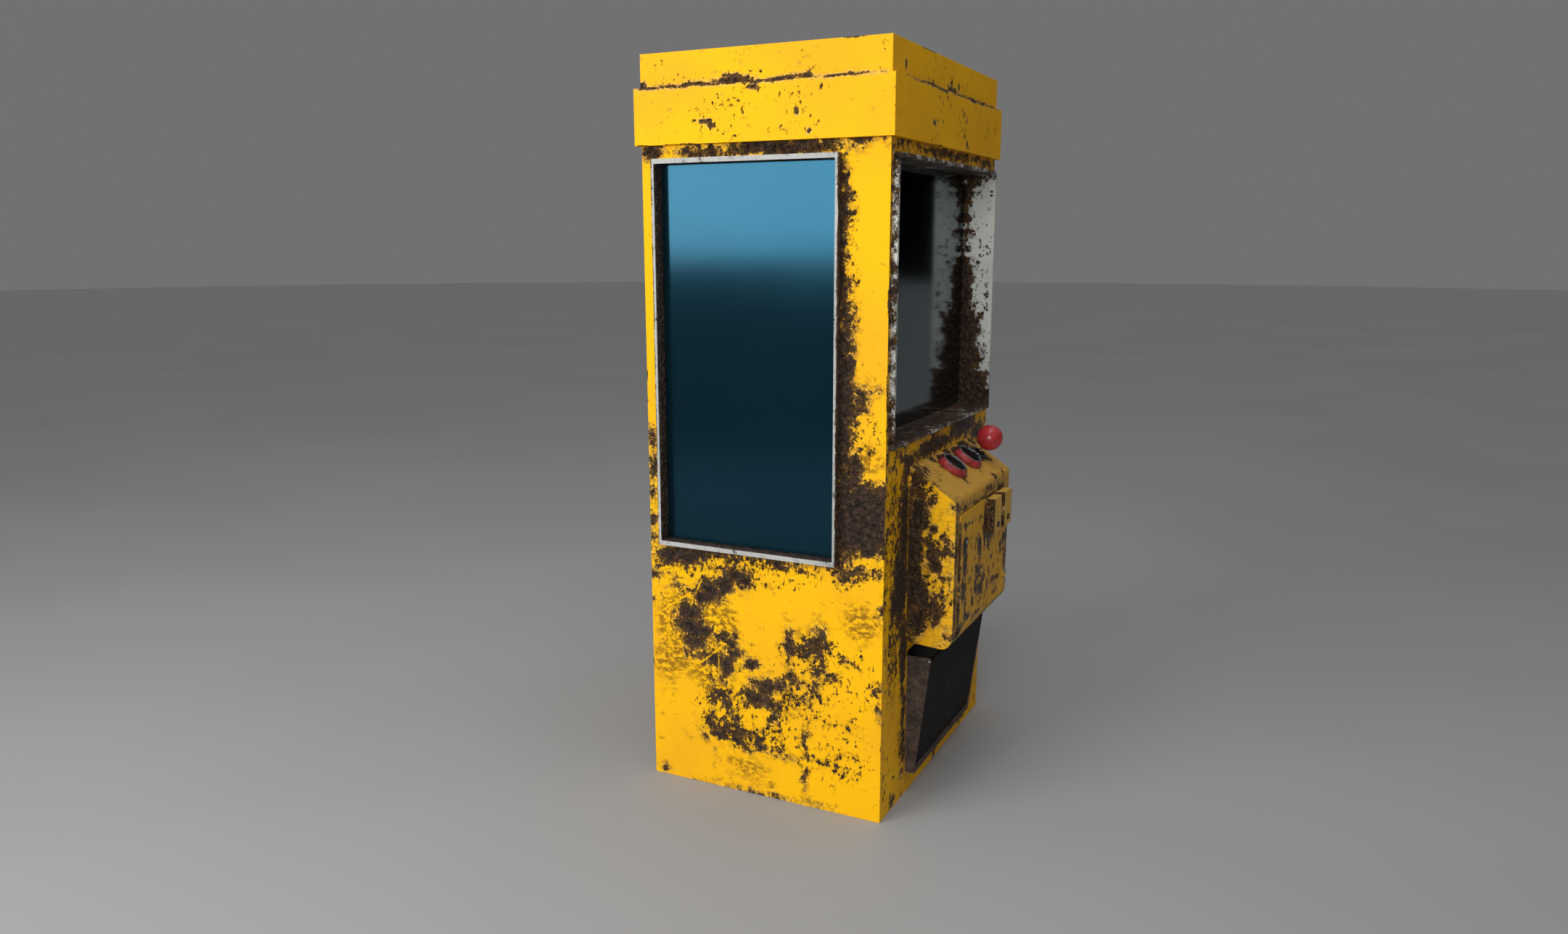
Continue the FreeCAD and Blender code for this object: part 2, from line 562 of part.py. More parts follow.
def make_button(i, x):
    """A large push button: threaded bezel, bright ring and dished plunger. Returns its nut."""
    bezel = turned("bezel_%d" % i, [
        ("stem_bore", -42), ("thread", -42), ("thread", 0), ("button_flange", 0), ("button_flange", 8),
        ("button_flange - 7", "button_tall"), ("cup_bore", "button_tall"), ("cup_bore", 3), ("stem_bore", 3)])
    ring = turned("ring_%d" % i, [
        ("cap_round + 1", 3), ("cup_bore", 3), ("cup_bore", "button_tall + 1"),
        ("cup_bore - 1.5", "button_tall + 2"), ("cap_round + 1", "button_tall")])
    plunger = turned("plunger_%d" % i, [
        (0, -36), ("stem", -36), ("stem", 10), ("cap_round", 10), ("cap_round", "button_tall - 3"),
        ("cap_round - 3", "button_tall - 2"), ("cap_round - 12", "button_tall - 6"), (0, "button_tall - 7")])
    for label, item in (("bezel", bezel), ("ring", ring), ("plunger", plunger)):
        node("button_%s_%d" % (label, i), on_slope(item, x, "button_down"))
    blank = doc.addObject("Part::Prism", "nut_blank_%d" % i)
    blank.Polygon = 6
    bind(blank, "Circumradius", "thread + 10")
    bind(blank, "Height", "nut_tall")
    hole = rod("nut_bore_%d" % i, "z", "thread + 0.06", (0, 0), (-1, "nut_tall + 1"))
    return on_slope(cut("nut_%d" % i, blank, [hole]), x, "button_down", "sheet + nut_tall")


def make_joystick():
    """The stick tilts about Y in a yoke that tilts about X, both through one point below the panel."""
    collar = turned("collar", [("stick_hole - 1", 0), (25, 0), (25, 2), (22, 5), ("stick_hole - 1", 5)])
    case = box("case_block", ("-case_x", "case_x"), ("-case_y", "case_y"), ("-case_deep", "-sheet"))
    room = box("case_room", ("-case_x + case_wall", "case_x - case_wall"),
               ("-case_y + case_wall", "case_y - case_wall"), ("-case_deep + 3", "-sheet + 1"))
    pivots = rod("case_pivots", "x", "trunnion_bore", (0, "-pivot_deep"), ("-case_x - 1", "case_x + 1"))
    base = cut("case_cut", case, [room, pivots])

    frame = box("yoke_block", ("-yoke_x", "yoke_x"), ("-yoke_y", "yoke_y"), about("-pivot_deep", "yoke_half"))
    pins = rod("yoke_pins", "x", "trunnion", (0, "-pivot_deep"), ("-case_x + 0.2", "case_x - 0.2"))
    gap = box("yoke_gap", ("-yoke_x + yoke_wall_x", "yoke_x - yoke_wall_x"),
              ("-yoke_y + yoke_wall_y", "yoke_y - yoke_wall_y"), about("-pivot_deep", "(yoke_half + 1)"))
    bore = rod("yoke_bore", "y", "trunnion_bore", (0, "-pivot_deep"), ("-yoke_y - 1", "yoke_y + 1"))
    yoke = cut("yoke_cut", join("yoke_blank", [frame, pins]), [gap, bore])

    stem = rod("stick_stem", "z", "shaft", (0, 0), (-50, "ball_high - 12"))
    cross = rod("stick_cross", "y", "trunnion", (0, "-pivot_deep"), ("-yoke_y + 0.2", "yoke_y - 0.2"))
    stick = join("stick_blank", [stem, cross])

    knob = doc.addObject("Part::Sphere", "knob")
    bind(knob, "Radius", "ball")
    place(knob, z="ball_high")
    socket = rod("knob_socket", "z", "shaft + 0.05", (0, 0), ("ball_high - ball - 1", "ball_high - 12"))
    ball = cut("knob_cut", knob, [socket])
    for label, item in (("collar", collar), ("base", base), ("yoke", yoke), ("shaft", stick), ("ball", ball)):
        node("joystick_" + label, on_slope(item, "stick_x", "stick_down"))


# ---- prize hopper, flap and chute --------------------------------------------------------------------

def make_hopper():
    """Two cheeks, a floor and a lip that the flap hangs against, in front of the cabinet."""
    out = f"{FRONT} - "
    side = [(FRONT, "hopper_low"), (f"{out} cheek_low_out", "hopper_low"), (f"{out} cheek_out", "cheek_top"),
            (FRONT, "cheek_top")]
    block = padded("hopper_blank", "YZ_Plane", side, "2 * hopper_half")
    wide = ("-hopper_half + sheet", "hopper_half - sheet")
    back = [(f"{FRONT} + 1", "hopper_low + sheet"), (f"{out} lip_out", "hopper_low + sheet"),
            (f"{out} lip_out", "lip_top"), (f"{out} cheek_out - 5", "lip_top"),
            (f"{out} cheek_out - 5", "cheek_top + 1"), (f"{FRONT} + 1", "cheek_top + 1")]
    room = padded("hopper_room", "YZ_Plane", back, f"({wide[1]}) - ({wide[0]})")
    pin_y = f"{FRONT} - flap_out"
    bore = rod("hopper_bore", "x", "flap_pin + 0.02", (pin_y, "hopper_top"),
               ("-hopper_half - 1", "hopper_half + 1"))
    node("hopper", cut("hopper_cut", block, [room, bore]))
    node("flap_pin", rod("flap_rod", "x", "flap_pin", (pin_y, "hopper_top"), ("-hopper_half", "hopper_half")))

    long = ("-hopper_half + 2 * sheet", "hopper_half - 2 * sheet")
    tube = rod("flap_barrel", "x", "flap_tube", (0, 0), long)
    plate = box("flap_plate", long, ("-flap_thick / 2", "flap_thick / 2"), ("-flap_long", 0))
    hollow = rod("flap_hollow", "x", "flap_bore", (0, 0), ("-hopper_half", "hopper_half"))
    flap = cut("flap_cut", join("flap_blank", [tube, plate]), [hollow])
    node("prize_flap", place(flap, 0, pin_y, "hopper_top", Rotation(Vector(1, 0, 0), SIZES["flap_tilt"])))


def make_chute():
    """A square duct under the playfield that drops prizes into a wide bin with a sloping floor."""
    near = f"{FRONT} + sheet"
    far = "chute_back + 2 * sheet"
    shell = padded("bin_shell", "YZ_Plane", [(near, "prize_low - sheet"), (far, "bin_rise - sheet"),
                                             (far, "bin_high"), (near, "bin_high")], "2 * hopper_half")
    room = padded("bin_room", "YZ_Plane", [
        (f"{near} - 1", "prize_low"), (near, "prize_low"), (f"{far} - sheet", "bin_rise"),
        (f"{far} - sheet", "bin_high - sheet"), (f"{near} - 1", "bin_high - sheet")],
        "2 * (hopper_half - sheet)")
    duct = box("duct_block", ("chute_left - sheet", "chute_right + sheet"),
               ("chute_front - sheet", "chute_back + sheet"), ("bin_high - sheet", "field_top - sheet"))
    hole = box("duct_hole", ("chute_left", "chute_right"), ("chute_front", "chute_back"),
               ("bin_high - 2 * sheet", "field_top"))
    node("prize_chute", cut("chute_cut", join("chute_blank", [cut("bin_cut", shell, [room]), duct]), [hole]))


def make_playfield():
    wide = (f"-{SIDE} + sheet", f"{SIDE} - sheet")
    floor = box("field_floor", wide, ("field_front - sheet", "field_back"),
                ("field_top - sheet", "field_top"))
    rise = box("field_rise", wide, ("field_front - sheet", "field_front"),
               ("field_top", "front_low + front_rim - reveal_thick"))
    hole = box("field_hole", ("chute_left", "chute_right"), ("chute_front", "chute_back"),
               ("field_top - sheet - 1", "field_top + 1"))
    node("playfield", cut("field_cut", join("field_blank", [floor, rise]), [hole]))

    tall = ("field_top", "field_top + guard_tall")
    outer = box("guard_block", ("chute_left - guard_thick", "chute_right + guard_thick"),
                ("field_front", "chute_back + guard_thick"), tall)
    inner = box("guard_room", ("chute_left", "chute_right"), ("field_front - 1", "chute_back"),
                ("field_top - 1", "field_top + guard_tall + 1"))
    node("chute_guard", cut("guard_cut", outer, [inner]))


# ---- crane -------------------------------------------------------------------------------------------

def make_gantry():
    """Fixed rails, the bridge that rolls on them along Y, and the trolley that rolls on it along X."""
    low = "wall_top + sheet"
    rails = [box("rail_" + side, on_side(sign, "rail_x", "(rail_x + rail_wide)"),
                 ("-rail_long / 2", "rail_long / 2"), (low, f"{low} + rail_wide"))
             for side, sign in (("left", -1), ("right", 1))]
    node("gantry_rails", group("rail_pair", rails))

    wheel_high = f"{low} + rail_wide + truck_wheel + wheel_play"
    parts = []
    for side, sign in (("left", -1), ("right", 1)):
        span = on_side(sign, "rail_x - 4 - truck_wide", "rail_x - 4")
        parts.append(box("truck_" + side, span, about("crane_y", "truck_half"), ("truck_low", "truck_top")))
        span = on_side(sign, "rail_x - 5", "rail_x + 2 * truck_wheel")
        for end, step in (("front", "-wheel_step"), ("back", "wheel_step")):
            centre = (f"crane_y + {step}", wheel_high)
            parts.append(rod(f"truck_wheel_{side}_{end}", "x", "truck_wheel", centre, span))
    beams = {}
    for end, sign in (("front", -1), ("back", 1)):
        near, far = on_side(sign, "beam_gap", "(beam_gap + beam_wide)")
        beams[end] = (f"crane_y + {near}", f"crane_y + {far}")
        parts.append(box("beam_" + end, ("-rail_x + 5", "rail_x - 5"), beams[end], ("beam_low", "beam_top")))
    node("bridge", join("bridge_blank", parts))

    plate = box("trolley_plate", about("crane_x", "trolley_half"), about("crane_y", "truck_half"),
                ("trolley_low", "trolley_low + 5"))
    motor = box("trolley_motor", about("crane_x", "motor_x"), about("crane_y", "motor_y"),
                ("trolley_low + 4", "motor_top"))
    wheels = []
    for end, span in beams.items():
        for side, step in (("left", "-wheel_step"), ("right", "wheel_step")):
            centre = (f"crane_x + {step}", "beam_top + trolley_wheel + wheel_play")
            wheels.append(rod(f"trolley_wheel_{side}_{end}", "y", "trolley_wheel", centre, span))
    node("trolley", join("trolley_blank", [plate, motor] + wheels))


def make_hoist():
    """A telescope of two tubes and a rod, with the claw's head on the rod's end."""
    centre = ("crane_x", "crane_y")
    outer = rod("outer_tube", "z", "outer_bore + tube_wall", centre, ("tube_low", "trolley_low"))
    bore = rod("outer_hollow", "z", "outer_bore", centre, ("tube_low - 1", "trolley_low - tube_wall"))
    node("hoist_outer", cut("outer_cut", outer, [bore]))
    mid = rod("mid_tube", "z", "mid_round", centre, ("tube_low - 4", "trolley_low - 5"))
    bore = rod("mid_hollow", "z", "mid_bore", centre, ("tube_low - 5", "trolley_low - 5 - tube_wall"))
    node("hoist_mid", cut("mid_cut", mid, [bore]))

    head = turned("head", [
        (0, "head_low"), ("neck_round", "head_low"), ("neck_round", "head_low + 30"),
        ("head_round", "head_low + 30"), ("head_round", "head_low + 86"), ("rod_round", "head_low + 90"),
        ("rod_round", "trolley_low - 10"), (0, "trolley_low - 10")])
    ears = []
    for i in range(3):
        pair = [box("ear_%d_%s" % (i, tag), ("neck_round - 4", "finger_pivot + 6"), span,
                    ("finger_high - 10", "finger_high + 10"))
                for tag, span in (("a", ("-finger_wide / 2 - 3.3", "-finger_wide / 2 - 0.3")),
                                  ("b", ("finger_wide / 2 + 0.3", "finger_wide / 2 + 3.3")))]
        pin = rod("ear_pin_%d" % i, "y", "finger_pin", ("finger_pivot", "finger_high"),
                  ("-finger_wide / 2 - 3.3", "finger_wide / 2 + 3.3"))
        ears.append(place(join("ears_%d" % i, pair + [pin]), turn=finger_turn(i)))
    claw = place(join("claw_blank", [head] + ears), "crane_x", "crane_y")
    node("claw_head", claw)


def finger_turn(i):
    """The three fingers are a third of a turn apart; the first points to the back."""
    return Rotation(Vector(0, 0, 1), 90 + 120 * i)


def make_finger(i):
    """A bent prong in the XZ plane, with its pivot bore."""
    r, z = "finger_pivot", "finger_high"
    prong = padded("prong_%d" % i, "XZ_Plane", [
        (f"{r} - 3", f"{z} + 5"), (f"{r} + 4", f"{z} + 5"), (f"{r} + 56", f"{z} - 50"),
        (f"{r} + 56", f"{z} - 62"), (f"{r} + 41", f"{z} - 140"), (f"{r} + 33", f"{z} - 136"),
        (f"{r} + 45", f"{z} - 62"), (f"{r} + 44", f"{z} - 54"), (f"{r} - 3", f"{z} - 5")], "finger_wide")
    bore = rod("prong_bore_%d" % i, "y", "finger_bore", (r, z), (-10, 10))
    node("claw_finger_%d" % (i + 1), place(cut("prong_cut_%d" % i, prong, [bore]), "crane_x", "crane_y",
                                           turn=finger_turn(i)))


# ---- electrics ---------------------------------------------------------------------------------------

def make_electrics():
    wall = f"-{SIDE} + sheet"
    face = f"{wall} + board_off + board_thick"
    parts = [box("board_plate", (f"{wall} + board_off", face), ("board_front", "board_back"),
                 ("board_low", "board_top"))]
    gap = (wall, f"{wall} + board_off")
    for end, y in (("front", "board_front + standoff_in"), ("back", "board_back - standoff_in")):
        for level, z in (("low", "board_low + standoff_in"), ("top", "board_top - standoff_in")):
            parts.append(rod(f"standoff_{end}_{level}", "x", "standoff", (y, z), gap))
    chips = {"relay_bank": (15, 185, 140, 170, 16), "processor": (50, 100, 70, 120, 4),
             "terminals": (10, 130, 20, 35, 12), "capacitor": (140, 170, 50, 80, 22)}
    for name, (y_low, y_high, z_low, z_high, tall) in chips.items():
        parts.append(box(name, (face, f"{face} + {tall}"),
                         (f"board_front + {y_low}", f"board_front + {y_high}"),
                         (f"board_low + {z_low}", f"board_low + {z_high}")))
    node("control_board", join("board_blank", parts))

    case = box("supply_case", ("supply_left", "supply_right"), ("supply_front", "supply_back"),
               ("base_thick", "base_thick + supply_tall"))
    strip = box("supply_strip", ("supply_left + 10", "supply_right - 10"),
                ("supply_front - strip_deep", "supply_front"), ("base_thick + 10", "base_thick + 30"))
    vents = []
    for i in range(7):
        near = f"supply_front + 20 + {i} * vent_step"
        vents.append(box("vent_%d" % i, ("supply_left - 2", "supply_left + vent_deep"),
                         (near, f"{near} + vent_wide"), ("base_thick + 20", "base_thick + supply_tall - 20")))
    node("power_supply", cut("supply_cut", join("supply_blank", [case, strip]), vents))

    flange = box("inlet_flange", about("inlet_x", "inlet_flange_x"), (BACK, f"{BACK} + 3"),
                 about("inlet_z", "inlet_flange_z"))
    body = box("inlet_body", about("inlet_x", "inlet_body_x"), (f"{BACK} - inlet_deep", BACK),
               about("inlet_z", "inlet_body_z"))
    socket = box("inlet_socket", about("inlet_x", "inlet_room_x"), (f"{BACK} - inlet_room", f"{BACK} + 4"),
                 about("inlet_z", "inlet_room_z"))
    shell = cut("inlet_cut", join("inlet_blank", [flange, body]), [socket])
    pins = [box("inlet_pin_%d" % i, about(f"inlet_x + {8 * (i - 1)}", 1),
                (f"{BACK} - inlet_room - 1", f"{BACK} - 4"), about("inlet_z", 3)) for i in range(3)]
    node("power_inlet", join("inlet_all", [shell] + pins))


# ---- assembly ----------------------------------------------------------------------------------------

def build():
    make_base()
    beads = [make_side("left", -1), make_side("right", 1), make_front_window()]
    node("glazing_beads", group("bead_rings", beads))
    make_front_panel()
    make_back_panel()
    make_cap()
    make_rear_door()
    make_control_box()
    make_coin_door()
    for i, x in ENTRY_CENTRES.items():
        make_coin_entry(i, x)
    make_cash_box()
    node("button_nuts", group("nuts", [make_button(i, x) for i, x in BUTTON_CENTRES.items()]))
    make_joystick()
    make_hopper()
    make_chute()
    make_playfield()
    make_gantry()
    make_hoist()
    for i in range(3):
        make_finger(i)
    make_electrics()


def check_and_write():
    """Stops on any failed object or bad shape, then writes one STEP file for each node."""
    doc.recompute()
    failed = [o.Name for o in doc.Objects if "Invalid" in o.State or "Error" in o.State]
    shapes = {label: item.Shape for label, item in nodes.items()}
    bad = [label for label, shape in shapes.items()
           if shape.isNull() or not shape.isValid() or not shape.Solids]
    if failed or bad:
        raise RuntimeError("failed objects %s, bad shapes %s" % (failed, bad))
    os.makedirs("parts", exist_ok=True)
    for label, shape in shapes.items():
        shape.exportStep("parts/%s.step" % label)
        print("%-20s solids %d  volume %.0f" % (label, len(shape.Solids), shape.Volume))
    print(len(nodes), "nodes")


build()
check_and_write()
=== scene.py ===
"""The looks of the claw-crane prize machine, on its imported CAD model. Metres, in the model's own frame."""
import math

import bpy
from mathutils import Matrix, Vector


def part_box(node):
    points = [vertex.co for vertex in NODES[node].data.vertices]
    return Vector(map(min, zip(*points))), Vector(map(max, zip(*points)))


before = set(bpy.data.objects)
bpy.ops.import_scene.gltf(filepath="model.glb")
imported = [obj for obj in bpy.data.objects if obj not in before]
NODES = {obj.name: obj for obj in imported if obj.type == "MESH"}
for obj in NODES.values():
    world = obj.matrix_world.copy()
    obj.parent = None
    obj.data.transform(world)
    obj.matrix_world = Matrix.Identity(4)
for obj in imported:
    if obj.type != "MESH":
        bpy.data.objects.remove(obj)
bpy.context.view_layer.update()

ENDLESS = math.inf
FAR_OUTSIDE = -1.0


# ---- node trees --------------------------------------------------------------------------------------

class Shader:
    """One material: a Principled shader, the object's own coordinates, and a short call for each node."""

    def __init__(self, name):
        self.material = bpy.data.materials.new(name)
        self.material.use_nodes = True
        self.tree = self.material.node_tree
        self.tree.nodes.clear()
        output = self.tree.nodes.new("ShaderNodeOutputMaterial")
        self.surface = self.tree.nodes.new("ShaderNodeBsdfPrincipled")
        self.tree.links.new(self.surface.outputs[0], output.inputs["Surface"])
        self.place = self.tree.nodes.new("ShaderNodeTexCoord").outputs["Object"]
        self.across, _, self.up = self.split(self.place)

    def feed(self, socket, value):
        if isinstance(value, bpy.types.NodeSocket):
            self.tree.links.new(value, socket)
        else:
            socket.default_value = value

    def set(self, **values):
        """Feeds the shader's sockets, whose names have underscores for spaces here."""
        for name, value in values.items():
            if isinstance(value, tuple) and len(value) == 3:
                value = (*value, 1)
            self.feed(self.surface.inputs[name.replace("_", " ")], value)
        return self.material

    def math(self, operation, *values, clamp=False):
        node = self.tree.nodes.new("ShaderNodeMath")
        node.operation = operation
        node.use_clamp = clamp
        for socket, value in zip(node.inputs, values):
            self.feed(socket, value)
        return node.outputs[0]

    def vector(self, operation, *values):
        node = self.tree.nodes.new("ShaderNodeVectorMath")
        node.operation = operation
        for socket, value in zip(node.inputs, values):
            self.feed(socket, value)
        return node.outputs["Value" if operation in ("LENGTH", "DOT_PRODUCT", "DISTANCE") else "Vector"]

    def split(self, vector):
        """The X, Y and Z of a vector."""
        node = self.tree.nodes.new("ShaderNodeSeparateXYZ")
        self.feed(node.inputs[0], vector)
        return node.outputs

    def noise(self, where, scale, detail=4, roughness=0.6, colour=False):
        node = self.tree.nodes.new("ShaderNodeTexNoise")
        settings = (("Vector", where), ("Scale", scale), ("Detail", detail), ("Roughness", roughness))
        for name, value in settings:
            self.feed(node.inputs[name], value)
        return node.outputs["Color" if colour else "Fac"]

    def step(self, value, low, high):
        """A soft step: 0 below low and 1 above high, or the other way round where low is above high."""
        node = self.tree.nodes.new("ShaderNodeMapRange")
        node.interpolation_type = "SMOOTHSTEP"
        turned = low > high
        start, end = (1, 0) if turned else (0, 1)
        for socket, item in zip(node.inputs, (value, min(low, high), max(low, high), start, end)):
            self.feed(socket, item)
        return node.outputs[0]

    def blend(self, factor, first, second):
        """A colour between two."""
        node = self.tree.nodes.new("ShaderNodeMix")
        node.data_type = "RGBA"
        for name, value in (("Factor_Float", factor), ("A_Color", first), ("B_Color", second)):
            socket = [s for s in node.inputs if s.identifier == name][0]
            self.feed(socket, (*value, 1) if isinstance(value, tuple) else value)
        return node.outputs[2]

    def number_between(self, factor, first, second):
        node = self.tree.nodes.new("ShaderNodeMix")
        for socket, value in zip(node.inputs, (factor, first, second)):
            self.feed(socket, value)
        return node.outputs[0]

    def cells(self, where, scale, smooth=0.6):
        """Rounded cells: 0 at each centre, about 0.7 at the borders."""
        node = self.tree.nodes.new("ShaderNodeTexVoronoi")
        node.feature = "SMOOTH_F1"
        for name, value in (("Vector", where), ("Scale", scale), ("Smoothness", smooth)):
            self.feed(node.inputs[name], value)
        return node.outputs["Distance"]

    def stretched(self, where, scale, turn=(0, 0, 0)):
        node = self.tree.nodes.new("ShaderNodeMapping")
        for name, value in (("Vector", where), ("Rotation", turn), ("Scale", scale)):
            self.feed(node.inputs[name], value)
        return node.outputs[0]

    def relief(self, height, depth):
        """Bump for a height of 0 to 1 that stands for a depth in metres."""
        node = self.tree.nodes.new("ShaderNodeBump")
        node.inputs["Strength"].default_value = 1
        node.inputs["Distance"].default_value = depth
        self.feed(node.inputs["Height"], height)
        return node.outputs[0]


def most(s, *values):
    result = values[0]
    for value in values[1:]:
        result = s.math("MAXIMUM", result, value)
    return result


# ---- where the wear is, and the painted cap shadows --------------------------------------------------
# A spot is a centre and a half-size on each axis. A half-size that is endless leaves its axis out.

def side_spots(*spots):
    """Spots on a side face, each (y, z, half-width, half-height)."""
    return [((0, y, z), (ENDLESS, half_y, half_z)) for y, z, half_y, half_z in spots]


def front_spots(*spots):
    """Spots on a front or back face, each (x, z, half-width, half-height)."""
    return [((x, 0, z), (half_x, ENDLESS, half_z)) for x, z, half_x, half_z in spots]


def depth_inside(s, where, spots):
    """How far inside the nearest spot a point is, in metres, and below 0 outside."""
    deepest = FAR_OUTSIDE
    for centre, half in spots:
        shift = [-c / h for c, h in zip(centre, half)]
        reach = s.vector("LENGTH", s.vector("MULTIPLY_ADD", where, [1 / h for h in half], shift))
        deepest = s.math("MAXIMUM", deepest, s.math("MULTIPLY_ADD", reach, -min(half), min(half)))
    return deepest


def edge_distance(s, low, high):
    """On the faces of a box, the distance to the nearest of its edges."""
    from_low = s.vector("SUBTRACT", s.place, list(low))
    from_high = s.vector("SUBTRACT", list(high), s.place)
    x, y, z = s.split(s.vector("MINIMUM", from_low, from_high))
    return s.math("MAXIMUM", s.math("MINIMUM", x, y), s.math("MINIMUM", s.math("MAXIMUM", x, y), z))


def scratch(s, start, end, half_width):
    """1 along a straight line between two points, 0 off it."""
    start, end = Vector(start), Vector(end)
    along = (end - start).normalized()
    offset = s.vector("SUBTRACT", s.place, list(start))
    run = s.vector("DOT_PRODUCT", offset, list(along))
    held = s.math("MINIMUM", s.math("MAXIMUM", run, 0), (end - start).length)
    scaled = s.tree.nodes.new("ShaderNodeVectorMath")
    scaled.operation = "SCALE"
    scaled.inputs[0].default_value = along
    s.feed(scaled.inputs["Scale"], held)
    return s.step(s.vector("DISTANCE", offset, scaled.outputs[0]), half_width, half_width * 0.5)


LEFT_RUST_AND_CAP_SHADOW = side_spots(
    # round the window
    (0.24, 0.638, 0.078, 0.030), (0.00, 0.654, 0.230, 0.009), (-0.214, 0.668, 0.012, 0.035),
    (-0.220, 1.42, 0.015, 0.27), (-0.224, 1.05, 0.028, 0.34), (-0.230, 0.80, 0.036, 0.15),
    (-0.272, 0.785, 0.075, 0.090), (-0.325, 0.820, 0.034, 0.048), (-0.300, 0.725, 0.045, 0.035),
    (-0.262, 0.905, 0.022, 0.050), (-0.268, 1.072, 0.018, 0.028), (-0.247, 1.080, 0.020, 0.009),
    (-0.292, 1.102, 0.012, 0.007), (-0.235, 1.145, 0.012, 0.012), (-0.050, 1.665, 0.170, 0.024),
    # the last spot on the next line, just under the cap, is a painted shadow of the cap, not rust
    (0.150, 1.664, 0.070, 0.016), (0.310, 1.666, 0.030, 0.020), (-0.240, 1.677, 0.060, 0.006),
    (0.322, 0.865, 0.012, 0.030), (0.324, 0.800, 0.012, 0.022), (0.324, 0.715, 0.013, 0.040),
    (0.326, 0.940, 0.009, 0.020),
    # the long curved patch below it
    (0.065, 0.588, 0.045, 0.022), (0.105, 0.575, 0.035, 0.028), (0.150, 0.548, 0.045, 0.028),
    (0.178, 0.522, 0.028, 0.024), (0.225, 0.545, 0.032, 0.008), (0.215, 0.480, 0.040, 0.028),
    (0.205, 0.436, 0.050, 0.034), (0.192, 0.400, 0.036, 0.024), (0.112, 0.425, 0.030, 0.012),
    (0.084, 0.418, 0.014, 0.018), (0.145, 0.357, 0.040, 0.016), (0.100, 0.345, 0.018, 0.034),
    (0.088, 0.386, 0.036, 0.013), (0.040, 0.362, 0.024, 0.020), (0.220, 0.367, 0.010, 0.010),
    (0.145, 0.236, 0.003, 0.026), (0.102, 0.270, 0.003, 0.030), (0.120, 0.246, 0.004, 0.008),
    # the two bars joined by a bridge
    (-0.076, 0.440, 0.012, 0.034), (-0.157, 0.448, 0.015, 0.045), (-0.168, 0.478, 0.009, 0.026),
    (-0.112, 0.430, 0.020, 0.005), (-0.157, 0.372, 0.009, 0.034), (-0.078, 0.350, 0.011, 0.026),
    (-0.110, 0.336, 0.026, 0.009), (-0.130, 0.305, 0.005, 0.016),
    # low patches
    (-0.005, 0.315, 0.032, 0.022), (-0.050, 0.316, 0.022, 0.014), (0.005, 0.274, 0.046, 0.022),
    (-0.034, 0.228, 0.008, 0.020), (0.115, 0.150, 0.016, 0.014), (0.170, 0.140, 0.013, 0.008),
    (0.066, 0.160, 0.013, 0.019), (0.077, 0.192, 0.005, 0.018), (0.000, 0.142, 0.016, 0.004),
    (-0.030, 0.125, 0.024, 0.002), (-0.125, 0.186, 0.007, 0.020), (-0.122, 0.082, 0.004, 0.010),
    (-0.334, 0.300, 0.014, 0.018), (-0.330, 0.356, 0.010, 0.008), (-0.334, 0.560, 0.014, 0.022),
    (0.334, 0.575, 0.022, 0.008), (0.334, 0.505, 0.014, 0.009), (-0.240, 0.426, 0.010, 0.008),
    (-0.190, 0.367, 0.012, 0.006), (0.300, 0.014, 0.008, 0.008), (0.000, 0.004, 0.060, 0.006),
)
LEFT_STAINS = side_spots(
    (0.190, 0.430, 0.140, 0.150), (0.130, 0.330, 0.070, 0.080), (0.150, 0.290, 0.060, 0.060),
    (0.290, 0.330, 0.050, 0.090), (-0.290, 0.935, 0.060, 0.050), (-0.280, 0.520, 0.060, 0.060),
    (0.080, 0.645, 0.230, 0.022), (-0.025, 0.032, 0.022, 0.030), (0.080, 0.165, 0.120, 0.045),
    (-0.070, 0.275, 0.060, 0.045), (-0.230, 0.165, 0.040, 0.018), (0.230, 1.662, 0.110, 0.022),
    (-0.225, 0.235, 0.035, 0.012), (-0.130, 0.440, 0.060, 0.050), (0.050, 0.070, 0.070, 0.040),
    (0.326, 0.780, 0.020, 0.200),
)
LEFT_CHIPS = side_spots(
    (-0.275, 1.000, 0.060, 0.050), (-0.180, 0.360, 0.160, 0.110), (-0.200, 0.170, 0.110, 0.110),
    (-0.230, 0.640, 0.060, 0.050), (0.050, 0.210, 0.160, 0.090), (0.000, 0.620, 0.200, 0.050),
    (-0.235, 1.350, 0.025, 0.260), (0.200, 0.620, 0.120, 0.050), (-0.300, 0.750, 0.060, 0.130),
)
LEFT_SCRATCHES = (
    ((-0.421, 0.333, 0.450), (-0.421, 0.212, 0.535), 0.0035),
    ((-0.421, 0.325, 0.480), (-0.421, 0.225, 0.548), 0.0022),
    ((-0.421, 0.262, 0.297), (-0.421, 0.182, 0.345), 0.0030),
    ((-0.421, 0.182, 0.345), (-0.421, 0.108, 0.408), 0.0040),
    ((-0.421, 0.283, 0.330), (-0.421, 0.281, 0.470), 0.0022),
    ((-0.421, 0.130, 0.310), (-0.421, 0.128, 0.385), 0.0022),
    ((-0.421, 0.212, 0.500), (-0.421, 0.178, 0.575), 0.0030),
    ((-0.421, -0.215, 0.580), (-0.421, -0.262, 0.588), 0.0014),
    ((-0.421, -0.055, 0.126), (-0.421, -0.105, 0.122), 0.0012),
    ((-0.421, -0.105, 0.122), (-0.421, -0.122, 0.090), 0.0012),
)
